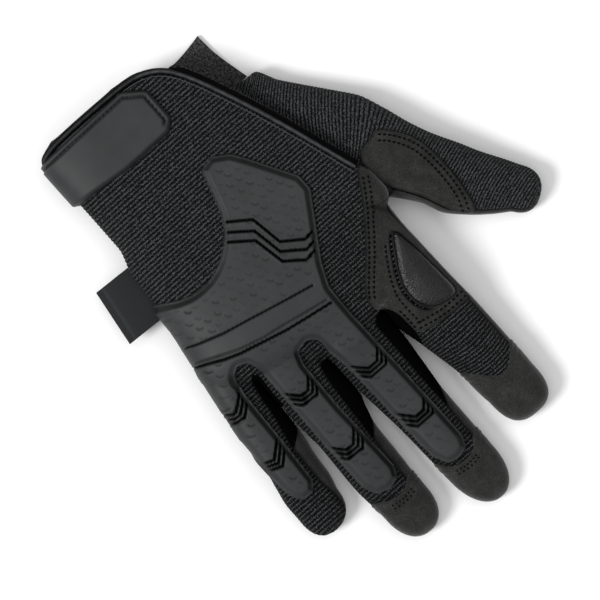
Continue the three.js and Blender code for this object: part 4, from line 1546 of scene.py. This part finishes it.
def build_fourchette(number, name):
    """A black strip between two fingers: the thumb-side flank of the second finger, the web at the
    bottom of the slit, and, by the index finger, that finger's far flank."""
    finger = number + 1
    low = SPLIT_LITTLE if number == 2 else SPLIT
    top = CLIMBS[number][2] - 0.5
    y = np.arange(STRETCH_FIRST, top, STRETCH_STEP)
    rings = finger_rings(finger, y, True)
    start = left_seam_place(rings, finger, y)
    end = rings.find("upper_left", "side", between(LIPS_RIGHT[number], y))
    grid = rings.strip(start, np.maximum(end, start + 0.05), 20, end * 0 + 20)
    surfaces = [closed_sheet([grid], [0.0 * grid.u], CLOTH)]
    rows = np.arange(low + 0.1, WEB_TOP, 0.35)
    share = np.linspace(0, 1, WEB_COLUMNS)
    left = between(LIPS_LEFT[number], rows)[:, None]
    right = between(LIPS_RIGHT[number], rows)[:, None]
    x = left - 0.4 + (right - left + 0.8) * share
    yy = rows[:, None] + 0 * x
    z = back_height(x, yy) - 0.25
    points = np.stack([x, yy, np.maximum(z, SEAM_HEIGHT)], axis=2)
    web = Grid(points, x, yy, x * 0 + 5, x * 0 + 5)
    surfaces.append(closed_sheet([web], [0.0 * x], 0.8))
    if number == 0:
        y = np.arange(STRETCH_FIRST, INDEX_LIP_TO_FLANK[1], STRETCH_STEP)
        rings = finger_rings(0, y, True)
        start = rings.over(np.minimum(between(LIPS_LEFT[0], y), rings.side.max(axis=1)))
        end = rings.find("lower_right", "z", SEAM_HEIGHT)
        start = mix(start, end, y, *INDEX_LIP_TO_FLANK)
        grid = rings.strip(start, np.maximum(end, start + 0.05), 16, 0 * y)
        surfaces.append(closed_sheet([grid], [0.0 * grid.u], CLOTH))
    return add_piece(name + "_strip", surfaces, STRETCH, [name])


# What is laid on the cloth

FLANK_REACH = 9.0  # how far in from the little finger's side the flank's sections start


def wrapped_grid(y, left, low, spacing):
    """A grid over the back from a line in x to the little finger's flank, and round that flank down
    to a height: even in x on the back, and by length round the flank."""
    right = np.where(y > 60, LITTLE.right(60.0 + 0 * y), hand_right(y))
    count = int(round((right.max() - FLANK_REACH - left) / spacing)) + 1
    share = np.linspace(0, 1, count)
    x = left + (right - FLANK_REACH - left)[:, None] * share
    yy = y[:, None] + 0 * x
    points = np.stack([x, yy, back_height(x, yy)], axis=2)
    rings = Rings(y, right - 2.2 * FLANK_REACH, right, True)
    start = rings.over(right - FLANK_REACH)
    end = rings.find("lower_right", "z", low)
    round_flank = rings.strip(start, end, int(24 / spacing), right)
    far = (end - start)[:, None]
    plan = Grid(points, x, yy, x - left, far + (right - FLANK_REACH)[:, None] - x)
    side = Grid(
        round_flank.points[:, 1:],
        round_flank.u[:, 1:],
        round_flank.v[:, 1:],
        round_flank.from_start[:, 1:] + (right - FLANK_REACH - left)[:, None],
        round_flank.from_end[:, 1:],
    )
    return plan.stacked(side, 1)


def channel(distance, width):
    """How much of a channel's depth is cut: all of it in the middle half, then a slope on each side."""
    return ease((width / 2 + 0.15 - distance) / (width / 4 + 0.15))


def crescents(x, y):
    """Shallow moulded crescents on a staggered grid: in each cell an arc of a circle, towards the ring
    fingertip, moved a little and made fainter by a hash of the cell's place."""
    wide, high = CRESCENT_CELL
    row = np.floor(y / high)
    across = x / wide + 0.5 * np.mod(row, 2)
    column = np.floor(across)
    chance = np.mod(np.abs(np.sin(row * 12.9898 + column * 78.233) * 43758.5453), 1)
    dx = (across - column - 0.5) * wide + 1.2 * (chance - 0.5)
    dy = (y / high - row - 0.45) * high + np.mod(chance * 7, 1) - 0.5
    ahead = 0.66 * dx + 0.75 * dy
    arc = np.exp(-(((np.hypot(dx, dy) - CRESCENT_RADIUS) / 0.3) ** 2)) * ease((ahead - 0.6) / 0.6)
    return arc * (0.2 + 0.8 * np.mod(chance * 3, 1))


def guard_relief(grid, outline, distance):
    """The guard's height off the cloth: a thin rim that lies deeper on the edges towards the thumb and
    the wrist, a straight bevel up to the plateau, the flex grooves, the zigzags, the band's lines and the
    crescents."""
    x = grid.x
    y = grid.y
    distance = np.minimum(distance, grid.from_end)
    across = (inside_distance(x + 0.6, y, outline) - inside_distance(x - 0.6, y, outline)) / 1.2
    ahead = (inside_distance(x, y + 0.6, outline) - inside_distance(x, y - 0.6, outline)) / 1.2
    # deep is 1 on the edges that face the thumb and the wrist, away from the key light: there the rim lies
    # lower, and the border gets more painted shade.
    deep = ease((0.85 * across + 0.5 * ahead + 0.1) / 0.7) * ease((grid.from_end - 3) / 4)
    rim = GUARD_RIM * (1.3 - 0.7 * deep)
    height = rim * np.sqrt(np.clip(distance / 0.5, 0.04, 1))
    height = height + (GUARD_PLATEAU - rim) * np.clip((distance - 0.9) / GUARD_BEVEL, 0, 1)
    border = 1 - ease((distance - 2.5) / 0.5)
    lip = np.exp(-(((distance - 0.35) / 0.4) ** 2))
    height = (height + GUARD_LIP * lip) * (0.3 + 0.7 * ease(grid.from_end / 7))
    cut = np.zeros_like(x)
    for line in CHEVRONS:
        (x0, y0), (x1, _), (x2, top), (x3, y3) = line
        inside = inside_distance(x, y, [*line, (x3 + 8, y3 - 30), (x0 - 8, y0 - 30)])
        near = (y > top - 14) & (x > x1 - 5.5) & (x < x2 + 6.5)
        for number in range(3):
            cut = np.maximum(cut, near * channel(np.abs(inside - number * CHEVRON_STEP), CHEVRON_WIDTH))
    for line in ZIGZAGS:
        away = line_distance(x, y, line)
        cut = np.maximum(cut, channel(away, ZIGZAG_WIDTH))
        height = height + 0.22 * np.exp(-(((away - 0.95) / 0.28) ** 2)) * ease((distance - 1) / 2)
    flank = ease((grid.from_end - 4) / 8)
    cut = cut * ease((distance - 1.3) / 0.9) * flank
    cut = np.maximum(cut, channel(line_distance(x, y, BAND_HIGH), 0.9) * ease((distance - 0.8) / 2) * flank)
    cut = np.maximum(cut, 0.35 * channel(line_distance(x, y, BAND_THIN), 0.8) * flank)
    cut = np.maximum(cut, 0.6 * channel(line_distance(x, y, BAND_LOW), 0.7) * flank)
    plateau = np.clip((distance - 3.5) / 1.5, 0, 1)
    band = (y > between(BAND_LOW, x) - 1) & (y < between(BAND_HIGH, x) + 1)
    dent = crescents(x, y) * plateau * ~band
    # The mark is painted shade: on the border, most where deep is 1, near-black in the grooves, and in the
    # crescent dents, more towards the little finger's side.
    mark = np.maximum((0.12 + 0.45 * deep) * border * (1 - lip), ease((cut - 0.1) / 0.5))
    mark = np.maximum(mark, (0.5 + 0.35 * ease((x - 50) / 15)) * dent)
    return np.maximum(height - CRESCENT_DEPTH * dent - GROOVE_DEPTH * cut, 0.25), mark


def build_guard():
    """The guard: a grid wrapped over the back and down the little finger's flank, cut to its outline."""
    outline = rounded(GUARD_OUTLINE, most=0.7)
    y = np.arange(-69.5, 96.2, RUBBER_STEP)
    grid = wrapped_grid(y, -13.0, RUBBER_FOOT, RUBBER_STEP)
    height, grid.mark = guard_relief(grid, outline, grid.cut_to(outline))
    surface = closed_sheet([grid], [height], RUBBER_SUNK, RUBBER_LIFT)
    return add_piece("rubber_guard", [surface], RUBBER, ["knuckle_guard"], RUBBER_CREASE)


def tab_relief(grid, distance):
    """A raised border, the stitched channel inside it except along the top, and the plateau."""
    distance = np.minimum(distance, grid.from_end + 3)
    height = TAB_RIM * np.clip(distance / 1.1, 0.2, 1)
    uneven = 0.75 + 0.25 * np.sin(grid.x * 2.9) * np.sin(grid.y * 2.7)
    top = ease((grid.y + 93 + 0.05 * (grid.x - 20)) / 2) * ease((grid.x - 14) / 4)
    side = 1 - top
    inner = ease((distance - 3.0) / 0.8) * side + ease((distance - 0.6) / 1.4) * top
    height = height + (TAB_PLATEAU - TAB_RIM) * inner
    cut = channel(np.abs(distance - 2.6), 1.0) * uneven * side * ease(grid.from_end / 4)
    # The mark is painted shade: in the stitched channel and on the outer edge.
    mark = np.maximum(0.65 * cut, 0.55 * (1 - ease(distance / 0.9)))
    return height - TAB_CHANNEL_DEPTH * cut, mark


def build_tab():
    """The tab, cut and wrapped as the guard is."""
    outline = rounded(TAB_OUTLINE, most=0.8)
    y = np.arange(-115, -86.4, 0.42)
    grid = wrapped_grid(y, 11.0, RUBBER_FOOT, 0.45)
    height, grid.mark = tab_relief(grid, grid.cut_to(outline))
    surface = closed_sheet([grid], [height], RUBBER_SUNK, RUBBER_LIFT)
    return add_piece("rubber_tab", [surface], RUBBER, ["cuff_tab"], RUBBER_CREASE)


def index_grid(first, last, spacing):
    """A grid round the index finger's root, from its low thumb-side seam to the middle finger."""
    y = np.arange(first, last, spacing)
    left = np.where(y < CROTCH_SEAM[-1][0], between(CROTCH_SEAM, y), hand_left(y))
    lip = between(LIPS_LEFT[0], y)
    right = np.where(y < SPLIT, 5.0, np.maximum(lip, INDEX.right(y)) + 0.3)
    rings = Rings(y, left, right, True, edges=[INDEX.right(y)])
    start = rings.over(left + 0.1 + INDEX_SEAM_INSET * ease((y + 7) / 4))
    end = rings.over(np.where(y < SPLIT, 4.0, right - 0.3))
    return rings.strip(start, end, int(56 / spacing), -16.0 + 0 * y)


def build_index_patch():
    """The patch at the index finger's root, with the channel that the pad sits in and a crease by the
    thumb's crotch."""
    outline = rounded(INDEX_PATCH)
    grid = index_grid(-26.5, 48.4, PATCH_STEP)
    distance = grid.cut_to(outline)
    pad = inside_distance(grid.x, grid.y, rounded(INDEX_PAD, most=1.2))
    right = ease((grid.x + 27) / 7)
    width = 0.35 + 0.45 * right
    channel_share = np.exp(-(((pad + 0.45 + 0.6 * right) / width) ** 4)) * ease((43 - grid.y) / 5)
    # Painted shade: near-black in the channel round the pad, more on its right side, and along the patch's
    # edge and its seam by the thumb.
    grid.shade = channel_share + seam_shade(distance, 0.7, 0.7) + seam_shade(grid.from_start, 0.8, 0.7)
    # Painted shade and a dip in a crease by the thumb's crotch.
    fold = seam_shade(line_distance(grid.x, grid.y, [(-31.5, 4), (-29.8, -2), (-26, -8)]), 0.5, 1.5)
    grid.shade = grid.shade + fold
    relief = hem_relief(distance) - 0.9 * channel_share - 0.6 * fold
    surface = closed_sheet([grid], [relief], PATCH_LIFT * 1.2, PATCH_LIFT)
    return add_piece("index_root_suede", [surface], SUEDE, ["index_patch"])


def build_index_pad():
    """The foam pad: a quarter ellipse up from its edge, 1.9 sqrt(1 - (1 - d / 2.6)^2), then a slight
    crown."""
    outline = rounded(INDEX_PAD, most=1.2)
    grid = index_grid(3.5, 44, PAD_STEP)
    distance = grid.cut_to(outline)
    edge = np.clip(distance / 2.6, 0, 1)
    height = 0.2 + 1.9 * np.sqrt(np.clip(1 - (1 - edge) ** 2, 0, 1)) + 0.07 * distance
    surface = closed_sheet([grid], [height], 0.25, 0.8)
    piece = add_piece("index_foam_pad", [surface], GRAINED, ["index_pad"])
    return piece


def build_thumb_patch():
    """The crescent patch on the thumb, with painted shade round its edge, heavier along its inner seam."""
    outline = rounded(THUMB_PATCH)
    along = np.arange(-8, 64, 0.6)
    rings = thumb_rings(along, True)
    right = THUMB.right(along)
    start = rings.over(np.maximum(-14.0, THUMB.left(along) + 0.2))
    grid = rings.strip(start, rings.over(right - 0.3), THUMB_PATCH_COLUMNS, THUMB_MIDDLE + 0 * along)
    distance = grid.cut_to(outline)
    inner = ease((grid.x + 52) / 4) * ease((grid.y + 12) / 3)
    grid.shade = seam_shade(distance, 0.6, 0.6) + inner * seam_shade(distance - 0.3, 0.9, 0.7)
    surface = closed_sheet([grid], [hem_relief(distance)], PATCH_LIFT * 1.1, PATCH_LIFT)
    return add_piece("thumb_suede_patch", [surface], SUEDE, ["thumb_patch"])


def swept(path, side, up, outline, u, v, mark):
    """A closed outline carried along a path: each point is the path's place plus the outline's two
    measures along the side and up directions. Both ends shrink to a point."""
    across = outline[..., 0]
    high = outline[..., 1]
    points = path[:, None] + side[:, None] * across[..., None] + up[:, None] * high[..., None]
    zero = np.zeros(across.shape)
    finish = np.stack([zero + u, zero + v[:, None], zero + mark, zero], axis=2)
    ends = points.mean(axis=1, keepdims=True) + 0 * points
    points = np.concatenate([ends[:1], points, ends[-1:]])
    finish = np.concatenate([finish[:1], finish, finish[-1:]])
    index = np.arange(points.shape[0] * points.shape[1]).reshape(points.shape[:2])
    after = np.roll(index, -1, axis=1)
    cells = np.stack([index[:-1], after[:-1], after[1:], index[1:]], axis=2).reshape(-1, 4)
    base, number, (flat,) = welded(points.reshape(-1, 3), (finish.reshape(-1, 4),))
    return base, number[cells], flat


# The tape's section from its inner edge outwards: place across, height
TAPE_TOP = [
    (-2.6, 0.2), (-1.5, 0.15), (-1.2, 0.7), (-0.6, 1.35), (0, 1.55), (0.6, 1.35), (1.2, 0.7),
    (1.6, 0.3), (3.3, 0.3),
]
TAPE_UNDER = -0.7
TAPE_POINTS = 22
PIPING_RADIUS = 0.26
PIPING_PLACE = (-2.05, 0.4)
PIPING_POINTS = 8


def build_binding():
    """The folded tape: a high round ridge with a flat fold on its outer side, swept along the edge
    with small puckers, and a thin piping on its inner side. Round the mouth its outer side is carried
    down over the edge of the cloth."""
    spacing = 0.55
    xy, tangent = path_points(offset_line(BINDING_LINE, 0.3), spacing)
    z = back_height(xy[:, 0], xy[:, 1])
    up = back_normal(xy[:, 0], xy[:, 1]) * 0.5 + [0, 0, 0.5]
    up /= np.linalg.norm(up, axis=1, keepdims=True)
    forward = np.concatenate([tangent, np.zeros((len(xy), 1))], axis=1)
    side = np.cross(forward, up)
    side /= np.linalg.norm(side, axis=1, keepdims=True)
    path = np.concatenate([xy, z[:, None]], axis=1)
    place = np.arange(len(xy)) * spacing
    top_across = np.linspace(TAPE_TOP[0][0], TAPE_TOP[-1][0], TAPE_POINTS)
    across = np.concatenate([top_across, top_across[-2:0:-1]])
    below = np.full((len(xy), TAPE_POINTS - 2), TAPE_UNDER)
    cuff = ease((-xy[:, 1] - 103) / 5)[:, None]
    pucker = 1 + 0.08 * np.sin(place / 0.9) + 0.05 * np.sin(place / 2.3 + 1)
    high = np.concatenate([between(TAPE_TOP, top_across) * pucker[:, None], below], axis=1)
    across = across - cuff * ease((across - 1.2) / 2.0) * 1.6
    fold = 2.6 * ease((across - 0.8) / 1.0)
    fold[:, : TAPE_POINTS - 1] = 0
    high = high - cuff * fold
    # The ridge's painted highlight, passed on as the mark.
    ridge = np.exp(-(((across + 0.1) / 0.6) ** 2))
    ridge[:, TAPE_POINTS:] = 0
    # Less of the painted highlight round the cuff, where x is past 8.
    dull = 1 - 0.5 * ease((xy[:, 0] - 8) / 8)[:, None]
    tape = swept(path, side, up, np.stack([across, high], axis=2), across, place, 0.75 * ridge * dull)
    turn = np.linspace(0, 2 * math.pi, PIPING_POINTS, endpoint=False)
    twist = 0.06 * np.sin(place / 0.35)[:, None]
    round_across = PIPING_PLACE[0] + PIPING_RADIUS * np.cos(turn) + twist
    round_high = PIPING_PLACE[1] + PIPING_RADIUS * np.sin(turn) + 0 * twist
    cord = np.stack([round_across, round_high], axis=2)[:, ::-1]
    piping = swept(path, side, up, cord, turn, place, 0.75 + 0 * turn)
    return add_piece("edge_binding", [tape, piping], SATIN, ["wrist_binding"])


# The strap seen from above: x of its left end at places in y, then y of its two long edges at
# places in x
STRAP_LEFT = [(-110.5, -18.5), (-102, -19.2), (-95, -20.6), (-85.4, -23)]
STRAP_LOW = [(-23, -112.4), (-16, -110.4), (-3, -108.6), (30, -108.2), (60, -109.2)]
STRAP_HIGH = [(-23, -85.3), (-12, -84), (20, -84.6), (60, -87.2)]
STRAP_TOP = 8.6  # how high up the flank it is carried, under the tab


def build_strap():
    """The strap: flat under the wrist from its free end, then up round the hand's flank to the tab."""
    y = np.linspace(STRAP_LOW[-1][1], STRAP_HIGH[-1][1], 30)
    right = HAND.right(y)
    rings = Rings(y, right - 20, right, False)
    start = rings.find("lower_right", "z", STRAP_TOP)
    end = rings.under(right - 8)
    rise = rings.strip(end, start, 26, right)
    left = between(STRAP_LEFT, np.linspace(STRAP_LEFT[0][0], STRAP_LEFT[-1][0], len(y)))
    x = left[:, None] + (rise.x[:, 0] - left)[:, None] * np.linspace(0, 1, 81)
    edge_low = between(STRAP_LOW, x[0])
    edge_high = between(STRAP_HIGH, x[0])
    yy = edge_low + (edge_high - edge_low) * np.linspace(0, 1, len(y))[:, None]
    z = np.full_like(x, STRAP_THICK)
    z = z + (rise.points[:, :1, 2] - 0.3 - z) * ease((x - 44) / 14)
    flat = Grid(np.stack([x, yy, z], axis=2), x, yy, x - x[:, :1], x * 0 + 20)
    length = rise.from_start[:, 1:]
    turn = Grid(rise.points[:, 1:], 62 + length, rise.v[:, 1:], 0 * length + 20, rise.from_end[:, 1:])
    grid = flat.stacked(turn, 1)
    surface = closed_sheet([grid], [0 * grid.u], STRAP_THICK - 0.1)
    return add_piece("loop_strap", [surface], LOOP, ["wrist_strap"])


def build_label():
    """The label: a strip of tape folded double, its fold rounded and its free part a little bowed."""
    count = 40
    angle = np.linspace(0, 2 * math.pi, count, endpoint=False)
    across = LABEL_HALF * np.sign(np.cos(angle)) * np.abs(np.cos(angle)) ** 0.35
    high = LABEL_THICK / 2 * np.sign(np.sin(angle)) * np.abs(np.sin(angle)) ** 0.5
    share = np.linspace(0, 1, count)
    x, y, z = LABEL_START
    y = y + LABEL_LENGTH * share
    bow = 0.5 * np.sin(math.pi * share)
    path = np.stack([x + LABEL_LEAN * share, y, z + bow], axis=1)
    side = np.tile([1.0, -0.05, 0.0], (count, 1))
    up = np.tile([0.0, 0.0, 1.0], (count, 1))
    bend = -0.004 * (across + LABEL_HALF) ** 2
    outline = np.broadcast_to(np.stack([across, high + bend], axis=1), (count, count, 2))
    framed = seam_shade(across[::-1] - LABEL_HALF + 3.8, 0.55, 0.4)
    surface = swept(path, side, up, outline[:, ::-1], across[::-1], y, framed)
    return add_piece("woven_side_label", [surface], WOVEN, ["side_label"])


# Stitches

THREAD_HALF_WIDTH = 0.5
THREAD_HALF_HEIGHT = 0.3


def stitch_row(line, lift, pitch=2.1, length=1.5):
    """Places and directions of the stitches along a line on the back."""
    xy, tangent = path_points(line, pitch)
    xy = xy[:-1] * 0.5 + xy[1:] * 0.5
    tangent = tangent[:-1]
    z = back_height(xy[:, 0], xy[:, 1])
    up = back_normal(xy[:, 0], xy[:, 1])
    place = np.concatenate([xy, z[:, None]], axis=1) + up * (lift + 0.08)
    forward = np.concatenate([tangent, np.zeros((len(xy), 1))], axis=1)
    forward -= up * np.sum(forward * up, axis=1, keepdims=True)
    forward /= np.linalg.norm(forward, axis=1, keepdims=True)
    return place, forward, up, length


def stitches(rows):
    """Every stitch as a small spindle: rings of six points whose radius follows sqrt(1 - t^2)."""
    t = np.array([-1, -0.7, 0, 0.7, 1.0])
    radius = np.sqrt(np.maximum(1 - t**2, 0))
    sides = 6
    angle = np.arange(sides) * 2 * math.pi / sides
    surfaces = []
    for place, forward, up, length in rows:
        side = np.cross(forward, up)
        level = side[:, None] * np.cos(angle)[None, :, None]
        upright = up[:, None] * np.sin(angle)[None, :, None]
        ring = level * THREAD_HALF_WIDTH + upright * THREAD_HALF_HEIGHT
        points = (
            place[:, None, None]
            + forward[:, None, None] * (t * length / 2)[None, :, None, None]
            + ring[:, None] * radius[None, :, None, None]
        )
        count = len(place)
        index = np.arange(count * len(t) * sides).reshape(count, len(t), sides)
        after = np.roll(index, -1, axis=2)
        cells = np.stack([index[:, :-1], after[:, :-1], after[:, 1:], index[:, 1:]], axis=3)
        flat = points.reshape(-1, 3)
        base, number, _ = welded(flat)
        surfaces.append((base, number[cells.reshape(-1, 4)], np.zeros((len(base), 4))))
    return surfaces


def build_stitches():
    """The rows of stitches that show: along the index patch's knit side, round the thumb's crescent,
    along the index patch's hem, beside the pad, and across two caps."""
    rows = []
    diagonal = [(2, 19.2), (-1, 15), (-11, 4.5), (-19, -5.5), (-25, -13.5), (-29.6, -21.4)]
    for by in (1.6, 3.8):
        rows.append(stitch_row(offset_line(diagonal, -by), PATCH_LIFT))
    crescent = [(-57.6, 20), (-60.2, 13), (-61, 0), (-60, -12), (-57.5, -20), (-52.5, -27.5), (-48.6, -31)]
    for by in (1.8, 4.3):
        rows.append(stitch_row(offset_line(crescent, by), PATCH_LIFT))
    hem = [(-31, 46.3), (-25, 46.4), (-18, 46.2), (-12, 44.8), (-7, 43.6)]
    for by in (0.8, 3.2):
        rows.append(stitch_row(offset_line(hem, -by), PATCH_LIFT))
    beside_pad = [(-9.6, 42), (-8.9, 33), (-9.2, 26), (-11.8, 19), (-15.8, 12.4), (-19.4, 7)]
    rows.append(stitch_row(beside_pad, PATCH_LIFT))
    rows.append(stitch_row([(-6.6, 42), (-6.5, 36), (-6.2, 31.5)], PATCH_LIFT))
    for line in ([(9.5, 98.4), (15, 99.5), (21, 98.1)], [(39.5, 91.2), (45, 92.5), (51, 91.3)]):
        rows.append(stitch_row(line, CAP_LIFT + 0.05, 1.6, 0.7))
        rows.append(stitch_row(offset_line(line, 1.6), CAP_LIFT + 0.05, 2.1, 0.7))
    return add_piece("stitches", stitches(rows), THREAD, [])


build_back()
build_index_back()
build_thumb()
build_palm()
build_thumb_palm()
for number, name in enumerate(TIP_NAMES):
    build_tip(number, name)
for number, neighbours in enumerate(("index_middle", "middle_ring", "ring_little")):
    build_fourchette(number, "fourchette_" + neighbours)
build_guard()
build_tab()
build_index_patch()
build_index_pad()
build_thumb_patch()
build_binding()
build_strap()
build_label()
build_stitches()


# Floor, lights and camera

VIEW_TURN = math.atan2(0.6607, -0.7507)  # the photograph's right, in the glove's frame
CENTRE = (22.5, 1.1, 12.0)
FIELD = 252.0  # millimetres across the picture at the glove's middle height
DISTANCE = 3000.0
SENSOR = 36
WORLD_LIGHT = 0.44


def add_floor():
    """A pale board, much wider than the picture."""
    mesh = bpy.data.meshes.new("floor")
    size = 3.0
    corners = [(-size, -size, 0), (size, -size, 0), (size, size, 0), (-size, size, 0)]
    mesh.from_pydata(corners, [], [(0, 1, 2, 3)])
    floor = bpy.data.objects.new("floor", mesh)
    mesh.materials.append(BOARD)
    bpy.context.scene.collection.objects.link(floor)


def add_sun(name, towards, spread, power):
    """An even light from a direction given by the picture's right and up and by height. Its spread in
    degrees softens the shadows as a big lamp does."""
    data = bpy.data.lights.new(name, "SUN")
    data.angle = math.radians(spread)
    data.energy = power
    lamp = bpy.data.objects.new(name, data)
    bpy.context.scene.collection.objects.link(lamp)
    right, up, high = towards
    cos = math.cos(VIEW_TURN)
    sin = math.sin(VIEW_TURN)
    x = right * cos - up * sin
    y = right * sin + up * cos
    lamp.rotation_euler = (math.atan2(math.hypot(x, y), high), 0, math.atan2(x, -y))


def add_camera():
    """Straight down from far off, with a long lens: lens = sensor distance / field."""
    data = bpy.data.cameras.new("camera")
    data.sensor_width = SENSOR
    data.lens = SENSOR * DISTANCE / FIELD
    data.clip_end = 20
    camera = bpy.data.objects.new("camera", data)
    bpy.context.scene.collection.objects.link(camera)
    camera.location = (CENTRE[0] * MM, CENTRE[1] * MM, (CENTRE[2] + DISTANCE) * MM)
    camera.rotation_euler = (0, 0, VIEW_TURN)
    bpy.context.scene.camera = camera


def add_world():
    """Even white light from all round."""
    world = bpy.data.worlds.new("studio")
    world.use_nodes = True
    background = world.node_tree.nodes["Background"]
    background.inputs["Color"].default_value = (1, 1, 1, 1)
    background.inputs["Strength"].default_value = WORLD_LIGHT
    bpy.context.scene.world = world
    bpy.context.scene.view_settings.view_transform = "Standard"


add_floor()
add_world()
add_sun("key", (-0.8, -0.4, 1.0), 20, 2.15)
add_sun("top", (0.05, 0.1, 1.0), 60, 0.85)
add_camera()
